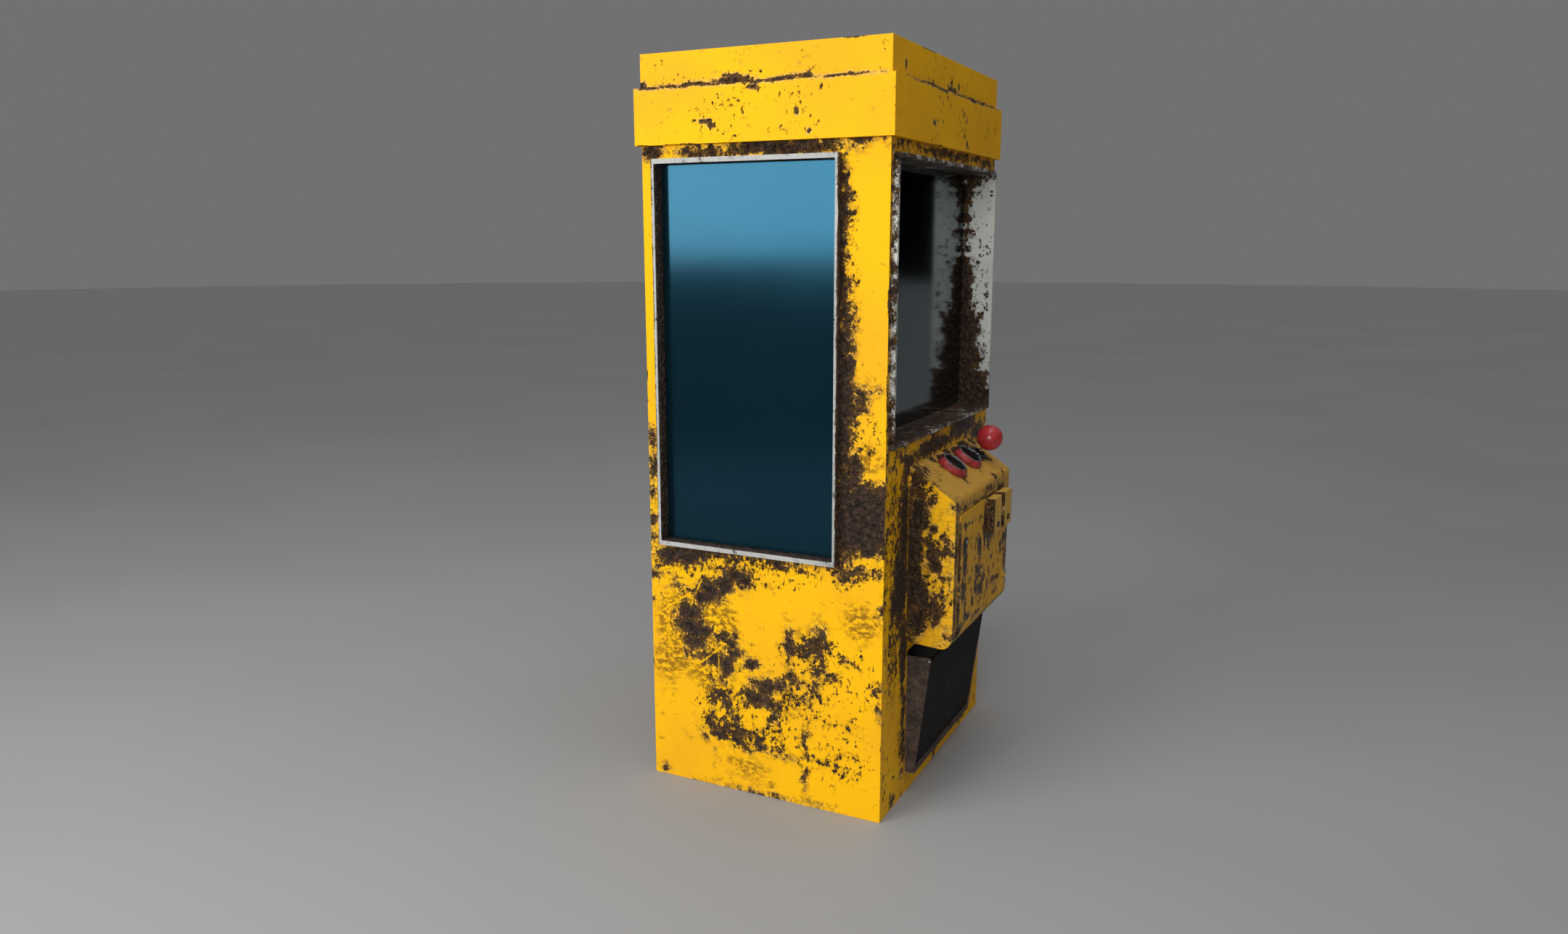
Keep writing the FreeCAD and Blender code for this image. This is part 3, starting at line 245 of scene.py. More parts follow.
RIGHT_RUST_AND_CAP_SHADOW = side_spots(
    (-0.16, 0.640, 0.100, 0.024), (0.08, 0.655, 0.200, 0.008), (0.304, 1.30, 0.012, 0.32),
    (0.310, 0.86, 0.022, 0.12), (0.300, 0.70, 0.045, 0.05), (-0.228, 1.45, 0.014, 0.14),
    (-0.240, 0.92, 0.024, 0.18), (-0.285, 0.79, 0.050, 0.06), (0.04, 1.668, 0.180, 0.018),
    # the first spot on the next line, just under the cap, is a painted shadow of the cap, not rust
    (-0.26, 1.672, 0.060, 0.010), (-0.270, 1.22, 0.016, 0.030), (0.12, 0.555, 0.060, 0.028),
    (0.20, 0.520, 0.040, 0.040), (0.245, 0.455, 0.030, 0.045), (0.19, 0.400, 0.040, 0.026),
    (0.10, 0.372, 0.036, 0.018), (-0.06, 0.330, 0.040, 0.024), (-0.10, 0.292, 0.024, 0.040),
    (-0.16, 0.300, 0.018, 0.022), (-0.22, 0.470, 0.022, 0.034), (-0.255, 0.430, 0.016, 0.020),
    (0.02, 0.180, 0.034, 0.018), (0.065, 0.150, 0.022, 0.026), (-0.30, 0.150, 0.014, 0.030),
    (0.28, 0.120, 0.018, 0.014), (0.326, 0.260, 0.012, 0.050), (-0.05, 0.006, 0.090, 0.008),
)
RIGHT_STAINS = side_spots(
    (0.19, 0.470, 0.130, 0.120), (-0.10, 0.310, 0.100, 0.060), (0.00, 0.640, 0.260, 0.024),
    (-0.25, 0.500, 0.060, 0.080), (0.03, 0.160, 0.090, 0.040), (0.31, 0.80, 0.030, 0.20),
)
RIGHT_CHIPS = side_spots(
    (-0.270, 1.150, 0.050, 0.120), (0.000, 0.420, 0.200, 0.080), (-0.180, 0.220, 0.120, 0.100),
    (0.200, 0.200, 0.100, 0.080), (0.315, 1.100, 0.020, 0.300),
)
FRONT_RUST_AND_CAP_SHADOW = front_spots(
    (-0.284, 0.730, 0.030, 0.190), (-0.300, 0.600, 0.050, 0.110), (-0.345, 0.560, 0.030, 0.050),
    (-0.330, 0.660, 0.024, 0.040), (-0.278, 0.420, 0.030, 0.130), (-0.262, 0.200, 0.014, 0.120),
    (-0.080, 0.918, 0.220, 0.022), (0.190, 0.930, 0.130, 0.034), (-0.260, 0.900, 0.034, 0.034),
    (-0.365, 0.908, 0.020, 0.012), (0.330, 0.900, 0.070, 0.030), (0.284, 0.700, 0.026, 0.200),
    (0.276, 0.400, 0.024, 0.120), (0.330, 0.520, 0.034, 0.040), (-0.414, 1.300, 0.008, 0.36),
    # the third spot on the next line, just under the cap, is a painted shadow of the cap, not rust
    (0.414, 1.300, 0.008, 0.36), (0.000, 1.668, 0.260, 0.012), (-0.330, 1.672, 0.060, 0.008),
    (0.330, 1.666, 0.090, 0.010), (0.005, 0.030, 0.018, 0.020), (-0.335, 0.016, 0.012, 0.008),
    (0.250, 0.035, 0.030, 0.010),
)
FRONT_STAINS = front_spots(
    (-0.360, 0.780, 0.045, 0.130), (-0.350, 0.420, 0.050, 0.170), (0.000, 0.935, 0.400, 0.026),
    (-0.280, 0.180, 0.034, 0.120), (0.340, 0.700, 0.060, 0.240), (0.000, 1.665, 0.400, 0.020),
    (0.000, 0.040, 0.300, 0.024), (0.300, 0.250, 0.050, 0.160),
)
FRONT_CHIPS = front_spots(
    (-0.350, 0.650, 0.070, 0.300), (0.350, 0.600, 0.070, 0.300), (-0.370, 0.100, 0.060, 0.080),
    (0.300, 0.050, 0.100, 0.050),
)
BACK_RUST = front_spots(
    (0.00, 1.640, 0.360, 0.022), (-0.345, 1.30, 0.016, 0.22), (-0.350, 0.80, 0.022, 0.20),
    (0.360, 0.52, 0.030, 0.24), (0.345, 1.10, 0.014, 0.30), (0.00, 0.062, 0.260, 0.020),
    (-0.20, 1.50, 0.050, 0.040), (-0.16, 1.44, 0.040, 0.030), (-0.235, 0.780, 0.020, 0.070),
    (0.120, 1.080, 0.050, 0.050), (0.155, 1.010, 0.030, 0.060), (0.060, 0.420, 0.080, 0.044),
    (-0.020, 0.360, 0.050, 0.060), (-0.060, 0.300, 0.030, 0.030), (0.210, 0.180, 0.060, 0.030),
    (-0.230, 0.170, 0.030, 0.050), (0.290, 0.860, 0.018, 0.060), (0.285, 0.215, 0.026, 0.050),
    (0.288, 1.480, 0.022, 0.050), (0.365, 0.090, 0.050, 0.020),
)
BACK_STAINS = front_spots(
    (0.060, 0.380, 0.150, 0.120), (0.140, 1.040, 0.090, 0.090), (-0.200, 1.470, 0.110, 0.090),
    (0.000, 0.110, 0.310, 0.040), (-0.240, 0.640, 0.040, 0.160), (0.350, 0.700, 0.050, 0.400),
)
BACK_CHIPS = front_spots(
    (0.000, 0.700, 0.280, 0.200), (0.100, 1.300, 0.150, 0.120), (-0.360, 0.300, 0.060, 0.240),
)
CAP_RUST = [((x, y, z), (half, half, high)) for x, y, z, half, high in (
    # the joint of the two tiers, on the left, the front, the right and the back
    (-0.421, 0.075, 1.824, 0.060, 0.010), (-0.421, 0.070, 1.832, 0.026, 0.010),
    (-0.421, 0.190, 1.819, 0.100, 0.006), (-0.421, -0.050, 1.820, 0.070, 0.007),
    (-0.421, -0.110, 1.823, 0.022, 0.008), (-0.421, -0.200, 1.819, 0.080, 0.005),
    (-0.421, 0.325, 1.826, 0.012, 0.012), (-0.421, 0.300, 1.819, 0.030, 0.004),
    (0.010, -0.333, 1.824, 0.040, 0.010), (0.150, -0.333, 1.819, 0.120, 0.006),
    (-0.150, -0.333, 1.819, 0.110, 0.006), (-0.335, -0.333, 1.846, 0.006, 0.014),
    (-0.280, -0.333, 1.819, 0.060, 0.003), (0.300, -0.333, 1.820, 0.080, 0.005),
    (0.421, 0.100, 1.823, 0.110, 0.008), (0.421, -0.180, 1.820, 0.090, 0.005),
    (-0.100, 0.333, 1.823, 0.140, 0.008), (0.220, 0.333, 1.820, 0.090, 0.005),
    # patches on the lower tier
    (-0.434, 0.144, 1.731, 0.014, 0.006), (-0.434, 0.126, 1.722, 0.009, 0.006),
    (-0.434, -0.104, 1.742, 0.006, 0.007), (-0.434, -0.134, 1.698, 0.007, 0.008),
    (-0.434, 0.014, 1.805, 0.010, 0.005), (-0.160, -0.346, 1.731, 0.012, 0.005),
    (0.074, -0.346, 1.774, 0.006, 0.006), (0.106, -0.346, 1.697, 0.006, 0.008),
    (0.434, 0.060, 1.715, 0.024, 0.010), (0.434, -0.120, 1.760, 0.010, 0.008),
    (0.150, 0.346, 1.720, 0.030, 0.012), (-0.180, 0.346, 1.770, 0.014, 0.008),
    # the roof
    (-0.205, 0.150, 1.900, 0.022, 0.030), (-0.178, 0.168, 1.900, 0.016, 0.030),
    (-0.150, 0.152, 1.900, 0.012, 0.030), (-0.222, 0.118, 1.900, 0.012, 0.030),
    (0.120, -0.080, 1.900, 0.026, 0.030), (0.150, -0.060, 1.900, 0.020, 0.030),
    (0.182, -0.052, 1.900, 0.014, 0.030), (0.108, -0.112, 1.900, 0.014, 0.030),
    (0.092, -0.050, 1.900, 0.010, 0.030), (0.250, 0.210, 1.900, 0.018, 0.030),
    (0.272, 0.190, 1.900, 0.012, 0.030), (-0.300, -0.260, 1.900, 0.014, 0.030),
    (0.020, 0.050, 1.900, 0.012, 0.030), (-0.330, 0.290, 1.900, 0.016, 0.030),
    (0.330, -0.280, 1.900, 0.014, 0.030),
)]
CAP_CHIPS = [((x, y, z), (half, half, high)) for x, y, z, half, high in (
    (-0.434, 0.140, 1.735, 0.050, 0.028), (-0.434, 0.020, 1.800, 0.060, 0.024),
    (-0.434, -0.100, 1.760, 0.036, 0.040), (-0.434, -0.110, 1.735, 0.034, 0.026),
    (-0.434, -0.040, 1.702, 0.100, 0.014), (-0.434, 0.100, 1.700, 0.060, 0.020),
    (-0.434, 0.080, 1.770, 0.080, 0.030), (-0.434, -0.130, 1.795, 0.060, 0.014),
    (-0.434, 0.260, 1.740, 0.030, 0.014), (-0.421, 0.040, 1.838, 0.100, 0.018),
    (-0.421, -0.130, 1.835, 0.060, 0.014), (-0.421, 0.060, 1.880, 0.050, 0.014),
    (-0.421, 0.240, 1.834, 0.090, 0.012), (-0.421, -0.100, 1.874, 0.020, 0.008),
    (-0.421, 0.280, 1.870, 0.020, 0.016), (-0.434, 0.130, 1.780, 0.020, 0.024),
    (-0.434, 0.040, 1.745, 0.030, 0.018), (-0.434, -0.080, 1.790, 0.030, 0.030),
    (-0.434, -0.160, 1.710, 0.030, 0.014), (-0.434, 0.330, 1.760, 0.008, 0.020),
    (-0.421, -0.310, 1.850, 0.012, 0.030), (-0.433, -0.345, 1.760, 0.010, 0.050),
    (0.020, -0.346, 1.715, 0.050, 0.016), (0.300, -0.346, 1.740, 0.030, 0.030),
    (-0.140, -0.346, 1.720, 0.060, 0.030), (0.070, -0.346, 1.755, 0.044, 0.046),
    (-0.060, -0.346, 1.795, 0.070, 0.022), (0.100, -0.346, 1.700, 0.050, 0.020),
    (0.200, -0.346, 1.780, 0.060, 0.024), (0.000, -0.333, 1.845, 0.200, 0.020),
    (0.434, 0.050, 1.740, 0.110, 0.040), (0.000, 0.346, 1.740, 0.200, 0.040),
    (0.000, 0.000, 1.900, 0.300, 0.030),
)]
BOX_RUST = [((-0.250, y, z), (0.030, half_y, half_z)) for y, z, half_y, half_z in (
    (-0.342, 0.640, 0.028, 0.240), (-0.358, 0.770, 0.030, 0.060), (-0.392, 0.808, 0.010, 0.016),
    (-0.350, 0.868, 0.024, 0.014), (-0.398, 0.650, 0.018, 0.028), (-0.428, 0.614, 0.012, 0.007),
    (-0.362, 0.560, 0.028, 0.060), (-0.358, 0.480, 0.026, 0.034), (-0.400, 0.735, 0.012, 0.012),
    (-0.425, 0.720, 0.008, 0.007), (-0.410, 0.505, 0.014, 0.020), (-0.452, 0.795, 0.008, 0.012),
    (-0.400, 0.548, 0.010, 0.030), (-0.384, 0.690, 0.010, 0.030), (-0.430, 0.560, 0.008, 0.012),
)] + [((0.250, y, z), (0.030, half_y, half_z)) for y, z, half_y, half_z in (
    (-0.345, 0.700, 0.026, 0.160), (-0.370, 0.560, 0.040, 0.080), (-0.395, 0.470, 0.030, 0.030),
    (-0.350, 0.480, 0.030, 0.060), (-0.420, 0.740, 0.016, 0.014),
)] + [((x, -0.456, z), (half_x, 0.030, half_z)) for x, z, half_x, half_z in (
    # the rim round the coin door
    (-0.236, 0.700, 0.011, 0.078), (-0.236, 0.530, 0.011, 0.075), (-0.225, 0.455, 0.040, 0.012),
    (-0.110, 0.778, 0.110, 0.005), (-0.160, 0.434, 0.080, 0.007), (0.060, 0.784, 0.040, 0.011),
    (0.160, 0.780, 0.036, 0.010), (0.236, 0.600, 0.008, 0.090), (0.100, 0.438, 0.110, 0.006),
)] + [((x, y, z), (half, half, half)) for x, y, z, half in (
    # the sloped panel: round the buttons and the stick, and at its back corners
    (-0.055, -0.380, 0.860, 0.048), (0.080, -0.380, 0.860, 0.048), (0.185, -0.383, 0.858, 0.034),
    (-0.230, -0.345, 0.884, 0.014), (-0.190, -0.352, 0.879, 0.011), (-0.105, -0.338, 0.888, 0.016),
    (0.020, -0.336, 0.890, 0.026), (0.150, -0.336, 0.890, 0.030), (0.230, -0.350, 0.880, 0.016),
    (-0.068, -0.424, 0.831, 0.009), (0.070, -0.424, 0.831, 0.007), (0.205, -0.410, 0.840, 0.010),
    (-0.210, -0.364, 0.871, 0.007), (0.120, -0.452, 0.811, 0.009), (0.190, -0.452, 0.811, 0.009),
)]
BOX_STAINS = [((x, y, z), (half, half, half)) for x, y, z, half in (
    (-0.055, -0.380, 0.860, 0.060), (0.080, -0.380, 0.860, 0.060), (0.185, -0.383, 0.858, 0.045),
    (-0.250, -0.370, 0.650, 0.060), (-0.250, -0.370, 0.520, 0.060), (-0.250, -0.350, 0.800, 0.060),
)]
BOX_CHIPS = [((x, y, z), (half, half, half)) for x, y, z, half in (
    (-0.250, -0.400, 0.560, 0.060), (-0.250, -0.405, 0.700, 0.045), (-0.250, -0.380, 0.850, 0.040),
    (0.250, -0.400, 0.600, 0.090), (-0.200, -0.360, 0.870, 0.060), (0.150, -0.360, 0.870, 0.060),
    (0.000, -0.456, 0.795, 0.040), (0.170, -0.456, 0.795, 0.040), (-0.160, -0.456, 0.795, 0.030),
)]
DOOR_RUST = front_spots(
    (-0.166, 0.662, 0.017, 0.036), (-0.172, 0.620, 0.010, 0.030), (-0.178, 0.556, 0.013, 0.034),
    (-0.040, 0.648, 0.020, 0.026), (-0.028, 0.620, 0.010, 0.012), (-0.062, 0.545, 0.012, 0.030),
    (-0.036, 0.580, 0.022, 0.009), (-0.028, 0.530, 0.024, 0.011), (0.010, 0.552, 0.012, 0.016),
    (-0.070, 0.596, 0.014, 0.007), (0.008, 0.700, 0.016, 0.060), (0.056, 0.769, 0.046, 0.008),
    (0.157, 0.769, 0.044, 0.008), (0.107, 0.715, 0.014, 0.062), (0.056, 0.660, 0.044, 0.013),
    (0.046, 0.636, 0.013, 0.018), (0.160, 0.662, 0.040, 0.008), (0.200, 0.620, 0.014, 0.022),
    (0.200, 0.700, 0.009, 0.060), (-0.040, 0.728, 0.014, 0.007), (-0.208, 0.466, 0.026, 0.012),
    (-0.212, 0.640, 0.006, 0.090), (0.100, 0.520, 0.014, 0.006), (-0.130, 0.480, 0.020, 0.006),
    (0.080, 0.590, 0.010, 0.006), (-0.050, 0.470, 0.030, 0.005), (0.212, 0.560, 0.006, 0.030),
    (0.215, 0.540, 0.012, 0.040), (0.215, 0.735, 0.012, 0.040), (-0.160, 0.500, 0.008, 0.040),
    (-0.120, 0.580, 0.007, 0.005), (-0.090, 0.510, 0.007, 0.012), (0.060, 0.560, 0.006, 0.008),
    (0.150, 0.560, 0.009, 0.006), (0.170, 0.600, 0.006, 0.014), (0.130, 0.480, 0.012, 0.004),
    (-0.140, 0.735, 0.030, 0.004), (0.050, 0.520, 0.008, 0.012), (-0.212, 0.520, 0.007, 0.060),
)
DOOR_STAINS = front_spots(
    (-0.170, 0.620, 0.024, 0.090), (-0.030, 0.560, 0.040, 0.050), (0.120, 0.500, 0.050, 0.020),
)
DOOR_CHIPS = front_spots(
    (0.000, 0.600, 0.200, 0.120), (-0.100, 0.700, 0.080, 0.050), (0.100, 0.520, 0.100, 0.060),
    (-0.180, 0.600, 0.050, 0.150), (0.000, 0.500, 0.200, 0.050),
)
REVEAL_RUST = [((0.394, y, z), (ENDLESS, half_y, half_z)) for y, z, half_y, half_z in (
    # on the inner faces of the front window, heaviest by the glass and at the sill
    (-0.254, 1.290, 0.034, 0.120), (-0.256, 1.180, 0.050, 0.110), (-0.260, 1.100, 0.058, 0.085),
    (-0.272, 1.030, 0.070, 0.060), (-0.300, 0.985, 0.090, 0.030), (-0.254, 1.530, 0.020, 0.030),
    (-0.254, 1.470, 0.010, 0.040), (-0.254, 1.420, 0.022, 0.012), (-0.254, 1.385, 0.018, 0.012),
    (-0.290, 1.636, 0.070, 0.014), (-0.256, 1.590, 0.028, 0.030), (-0.300, 0.968, 0.100, 0.014),
)]
REVEAL_CHIPS = [((0.394, y, z), (ENDLESS, half_y, half_z)) for y, z, half_y, half_z in (
    (-0.280, 1.180, 0.070, 0.140), (-0.260, 1.480, 0.050, 0.110), (-0.310, 1.060, 0.090, 0.060),
    (-0.320, 1.610, 0.080, 0.050), (-0.320, 1.350, 0.030, 0.200),
)]


# ---- materials ---------------------------------------------------------------------------------------

# the last of these three rust colours is a painted highlight on the pebbles' tops
RUST_PIT, RUST_BROWN, RUST_KNOB_HIGHLIGHT = (0.006, 0.004, 0.004), (0.058, 0.032, 0.022), (0.120, 0.068, 0.044)
RUST_PALE, RUST_GOLD = (0.20, 0.125, 0.085), (0.20, 0.090, 0.014)
RUST_SHEEN, RUST_GLOSS = (0.95, 0.78, 0.66), 0.44
DUST = (0.50, 0.275, 0.062)

# each paint as it is fresh, faded and stained
YELLOW_STAIN, GREY_STAIN = (0.20, 0.088, 0.008), (0.10, 0.085, 0.07)
YELLOW = ((0.90, 0.46, 0.004), (0.82, 0.40, 0.010), YELLOW_STAIN)
TAN = ((0.62, 0.36, 0.045), (0.50, 0.28, 0.05), YELLOW_STAIN)
GREY = ((0.66, 0.65, 0.60), (0.46, 0.46, 0.43), GREY_STAIN)
DULL_GREY = ((0.39, 0.38, 0.355), (0.29, 0.29, 0.27), GREY_STAIN)
YELLOW_SHEEN, PLAIN_SHEEN = (1.0, 0.72, 0.16), (1, 1, 1)
# heights over which the glass's reflection is painted darker towards the bottom: painted shade
REFLECTION_SHADE_LOW, REFLECTION_SHADE_HIGH = 0.65, 1.20

# noises: features to the metre, detail, roughness
WANDER = (12, 3, 0.6)
RAGGED_EDGE = (34, 8, 0.76)
CRUMBS = (190, 4, 0.75)
SPECKLE = (88, 6, 0.72)
LUMPS = (120, 6, 0.72)
GRAIN = (480, 3, 0.6)
BROAD = (3.2, 3, 0.5)
MOTTLE = (64, 7, 0.76)
DENTS = (46, 4, 0.65)
SPARED_EDGE = (7, 2, 0.6)
PEBBLE_WAVE = (60, 3, 0.6)

# how much thicker chips lie beside rust, in their clusters and in stains, and the level that makes one
NEAR_CROWDING, STAIN_CROWDING = 0.11, 0.085
CLUSTER_CROWDING, CLUSTER_CLUMPING = 0.120, 0.55
CHIP_FROM, CHIP_TO = 0.715, 0.735

# relief, in millimetres
LUMP_HEIGHT, PEBBLE_HEIGHT, RUST_LEVEL = 13.0, 9.0, -13.0
DIRT_DEPTH, SCRATCH_HEIGHT, GRAIN_HEIGHT = -0.5, 0.6, 0.06
MILLIMETRE = 0.001


def chip_mask(s, bent, fractal, near, stain, chips):
    """1 on the small chips: thick beside the rust and in the clusters, thin elsewhere."""
    cluster = s.step(s.math("MULTIPLY_ADD", fractal, 0.05, depth_inside(s, bent, chips)), -0.012, 0.012)
    clumped = s.math("MULTIPLY_ADD", fractal, CLUSTER_CLUMPING, CLUSTER_CROWDING)
    speckle = s.noise(s.stretched(s.place, (1, 1, 0.75)), *SPECKLE)
    crowd = s.math("MULTIPLY_ADD", near, NEAR_CROWDING, speckle)
    crowd = s.math("ADD", s.math("MULTIPLY", cluster, clumped), crowd)
    crowd = s.math("MULTIPLY_ADD", stain, STAIN_CROWDING, crowd)
    return s.step(crowd, CHIP_FROM, CHIP_TO), speckle


def rubbed_edges(s, fractal, box, worn_edge):
    """1 where the edges of a box are rubbed bare, with stretches spared."""
    rubbed = s.math("MULTIPLY_ADD", fractal, -worn_edge * 5, edge_distance(s, *box))
    spared = s.step(s.noise(s.place, *SPARED_EDGE), 0.64, 0.50)
    return s.step(s.math("MULTIPLY_ADD", spared, worn_edge * 2.5, rubbed), worn_edge * 0.4, 0)


def crust_colour(s, field, lumps, crumbs, pebbles, mottle):
    """The rust: brown with dark pits and pale crumbs, its knobs lighter as a painted highlight, golden along
    its border.
    """
    border = s.math("MULTIPLY", s.step(field, 0.016, 0.002), s.step(field, -0.006, 0.002))
    crust = s.blend(s.step(lumps, 0.42, 0.60), RUST_PIT, RUST_BROWN)
    # painted highlight: the pebbles' tops are lighter
    crust = s.blend(s.math("MULTIPLY", pebbles, 0.65), crust, RUST_KNOB_HIGHLIGHT)
    crust = s.blend(s.math("MULTIPLY", s.step(crumbs, 0.06, 0.13), 0.45), crust, RUST_PALE)
    return s.blend(s.math("MULTIPLY", border, s.math("MULTIPLY", mottle, 0.8)), crust, RUST_GOLD)


def dusted(s, tone, broad, start, amount):
    """A tone dulled by dust: everywhere a little, and by a given amount where X is past the start."""
    past = s.step(s.across, start, start + 0.0006)
    return s.blend(s.math("MULTIPLY_ADD", broad, 0.2, s.math("MULTIPLY", past, amount)), tone, DUST)


def painted(name, colours, rust=(), stains=(), chips=(), scratches=(), box=None, ragged=0.055,
            worn_edge=0.004, dusty=None):
    """Gloss paint over steel, rusted through in patches, stained and chipped. A few spots on the cabinet's
    sides and front are painted shadows of the cap, laid on as rust.

    colours are the paint, its faded tone and its stained tone. ragged is how far, in metres, the outline of a
    patch wanders. box is the pair of corners whose edges are rubbed bare in places. dusty is the X beyond
    which the paint is dulled by dust, and by how much.
    """
    s = Shader(name)
    paint, faded, stained = colours
    warp = s.noise(s.place, *WANDER, colour=True)
    bent = s.vector("MULTIPLY_ADD", warp, (ragged,) * 3, s.vector("SUBTRACT", s.place, (ragged / 2,) * 3))
    fractal = s.math("SUBTRACT", s.noise(s.place, *RAGGED_EDGE), 0.5)
    crumbs = s.math("SUBTRACT", s.noise(s.place, *CRUMBS), 0.5)
    lumps = s.noise(s.place, *LUMPS)
    broad = s.noise(s.place, *BROAD)
    grain = s.noise(s.place, *GRAIN)

    # the rust patches, a few of them painted shadows of the cap, and where the steel is bare
    outline = s.math("MULTIPLY_ADD", fractal, ragged * 1.6, s.math("MULTIPLY", crumbs, ragged * 0.8))
    field = s.math("ADD", outline, depth_inside(s, bent, rust))
    near = s.step(field, -0.4 * ragged, 0.002)
    rusty = s.step(field, 0.0, 0.0012)
    stain = s.step(s.math("MULTIPLY_ADD", fractal, 0.10, depth_inside(s, bent, stains)), -0.012, 0.035)
    chipped, speckle = chip_mask(s, bent, fractal, near, stain, chips)
    left_over = s.math("MULTIPLY", s.step(field, 0.030, 0.002), s.step(crumbs, 0.075, 0.10))
    bare = s.math("MAXIMUM", s.math("SUBTRACT", rusty, left_over, clamp=True), chipped)
    if box:
        bare = s.math("MAXIMUM", bare, rubbed_edges(s, fractal, box, worn_edge))

    # the paint: faded, dusty and stained, with a painted highlight as a pale rim at the rust
    slanted = s.stretched(s.place, (1, 0.7, 1), (0.9, 0, 0))
    mottle = s.step(s.noise(slanted, *MOTTLE), 0.47, 0.54)
    dents = s.step(s.noise(slanted, *DENTS), 0.63, 0.68)
    tone = s.blend(s.step(broad, 0.38, 0.66), paint, faded)
    dirt = s.math("MAXIMUM", s.math("MULTIPLY", near, 0.75), s.math("MULTIPLY", stain, 0.85))
    dirt = s.math("MAXIMUM", s.math("MULTIPLY", dirt, mottle), s.math("MULTIPLY", dents, 0.45))
    if dusty is not None:
        tone = dusted(s, tone, broad, *dusty)
    tone = s.blend(dirt, tone, stained)
    # painted highlight: a pale rim along the edge of the rust
    rim = s.math("MULTIPLY", s.step(field, -0.0045, -0.0015), s.step(grain, 0.42, 0.56))
    tone = s.blend(s.math("MULTIPLY", rim, 0.45), tone, tuple(0.75 * c + 0.25 for c in paint))
    lines = 0.0
    if scratches:
        marks = most(s, *[scratch(s, *line) for line in scratches])
        lines = s.math("MULTIPLY", marks, s.step(speckle, 0.36, 0.50))
        tone = s.blend(lines, tone, paint)
        bare = s.math("MULTIPLY", bare, s.math("SUBTRACT", 1, lines))

    wavy = s.vector("MULTIPLY_ADD", s.noise(s.place, *PEBBLE_WAVE, colour=True), (0.016,) * 3, s.place)
    pebbles = s.step(s.cells(wavy, 66), 0.60, 0.14)
    colour = s.blend(bare, tone, crust_colour(s, field, lumps, crumbs, pebbles, mottle))

    pebbled = s.math("MULTIPLY_ADD", pebbles, PEBBLE_HEIGHT, RUST_LEVEL)
    height = s.math("MULTIPLY", bare, s.math("MULTIPLY_ADD", lumps, LUMP_HEIGHT, pebbled))
    height = s.math("MULTIPLY_ADD", dirt, DIRT_DEPTH, height)
    height = s.math("MULTIPLY_ADD", lines, SCRATCH_HEIGHT, height)
    height = s.math("MULTIPLY_ADD", grain, GRAIN_HEIGHT, height)
    gloss = s.number_between(bare, s.math("MULTIPLY_ADD", broad, 0.20, 0.34), RUST_GLOSS)
    gloss = s.number_between(s.math("MULTIPLY", dirt, 0.8), gloss, 0.62)
    tint = s.blend(bare, YELLOW_SHEEN if colours is YELLOW else PLAIN_SHEEN, RUST_SHEEN)
    return s.set(Base_Color=colour, Roughness=gloss, Normal=s.relief(height, MILLIMETRE),
                 Specular_IOR_Level=0.42, Specular_Tint=tint)


def reflective_glass(name, base, ior, tint, gloss, reflection_left_low=1.0):
    """Tinted glass that hides what is behind it, with faint dust.

    The last argument is how much of its reflection is left at the bottom edge: painted shade that dims the
    reflection towards the bottom.
    """
    s = Shader(name)
    haze = s.noise(s.place, 4, detail=4, roughness=0.6)
    dust = s.step(s.noise(s.place, 260, detail=3), 0.60, 0.72)
    colour = s.blend(s.math("MULTIPLY", dust, 0.05), base, (0.05, 0.055, 0.055))
    # painted shade: the reflection's tint fades towards the bottom of the glass
    reflection_shade = s.blend(s.step(s.up, REFLECTION_SHADE_LOW, REFLECTION_SHADE_HIGH), tuple(c * reflection_left_low for c in tint), tint)
    return s.set(Base_Color=colour, Roughness=s.math("MULTIPLY_ADD", haze, 0.06, gloss), IOR=ior,
                 Specular_Tint=reflection_shade)


def plain(name, colour, roughness, metal=0.0, scale=60, spread=0.25, depth=0.0002, stain=None, stain_at=0.58,
          **more):
    """A worked surface with uneven colour and gloss, fine relief and, with a stain, dirt in patches."""
    s = Shader(name)
    wide = s.noise(s.place, scale * 0.18, detail=4, roughness=0.6)
    fine = s.noise(s.place, scale * 6, detail=3, roughness=0.6)
    tone = s.blend(s.step(wide, 0.3, 0.7), colour, tuple(c * (1 - spread) for c in colour))
    gloss = s.math("MULTIPLY_ADD", wide, spread * 0.5, roughness - spread * 0.25)
    if stain:
        grime = s.step(s.noise(s.place, scale, detail=6, roughness=0.7), stain_at, stain_at + 0.10)
        tone = s.blend(grime, tone, stain)
        gloss = s.number_between(grime, gloss, 0.75)
    return s.set(Base_Color=tone, Roughness=gloss, Metallic=metal, Normal=s.relief(fine, depth), **more)


def scuffed(name, colour, roughness, dirt, scale=110):
    """Moulded gloss plastic with scuffs and grime, which dull its gloss."""
    s = Shader(name)
    upright = s.stretched(s.place, (1, 1, 2.2))
    scuffs = s.step(s.noise(upright, scale, detail=5, roughness=0.75), 0.55, 0.72)
    grime = s.step(s.noise(s.place, scale * 0.5, detail=6, roughness=0.7), 0.53, 0.68)
    fine = s.noise(s.place, scale * 5, detail=3)
    pale = tuple(min(1, c * 1.25 + 0.03) for c in colour)
    tone = s.blend(s.math("MULTIPLY", scuffs, 0.5), colour, pale)
    tone = s.blend(s.math("MULTIPLY", grime, 0.75), tone, dirt)
    gloss = s.math("MULTIPLY_ADD", most(s, scuffs, grime), 0.35, roughness)
    height = s.math("MULTIPLY_ADD", scuffs, -0.6, fine)
    return s.set(Base_Color=tone, Roughness=gloss, Normal=s.relief(height, 0.0002))


# the direction in which the collar's far side is painted black: painted shade
BUTTON_SHADED_SIDE = (0.62, 0.65, 0.44)


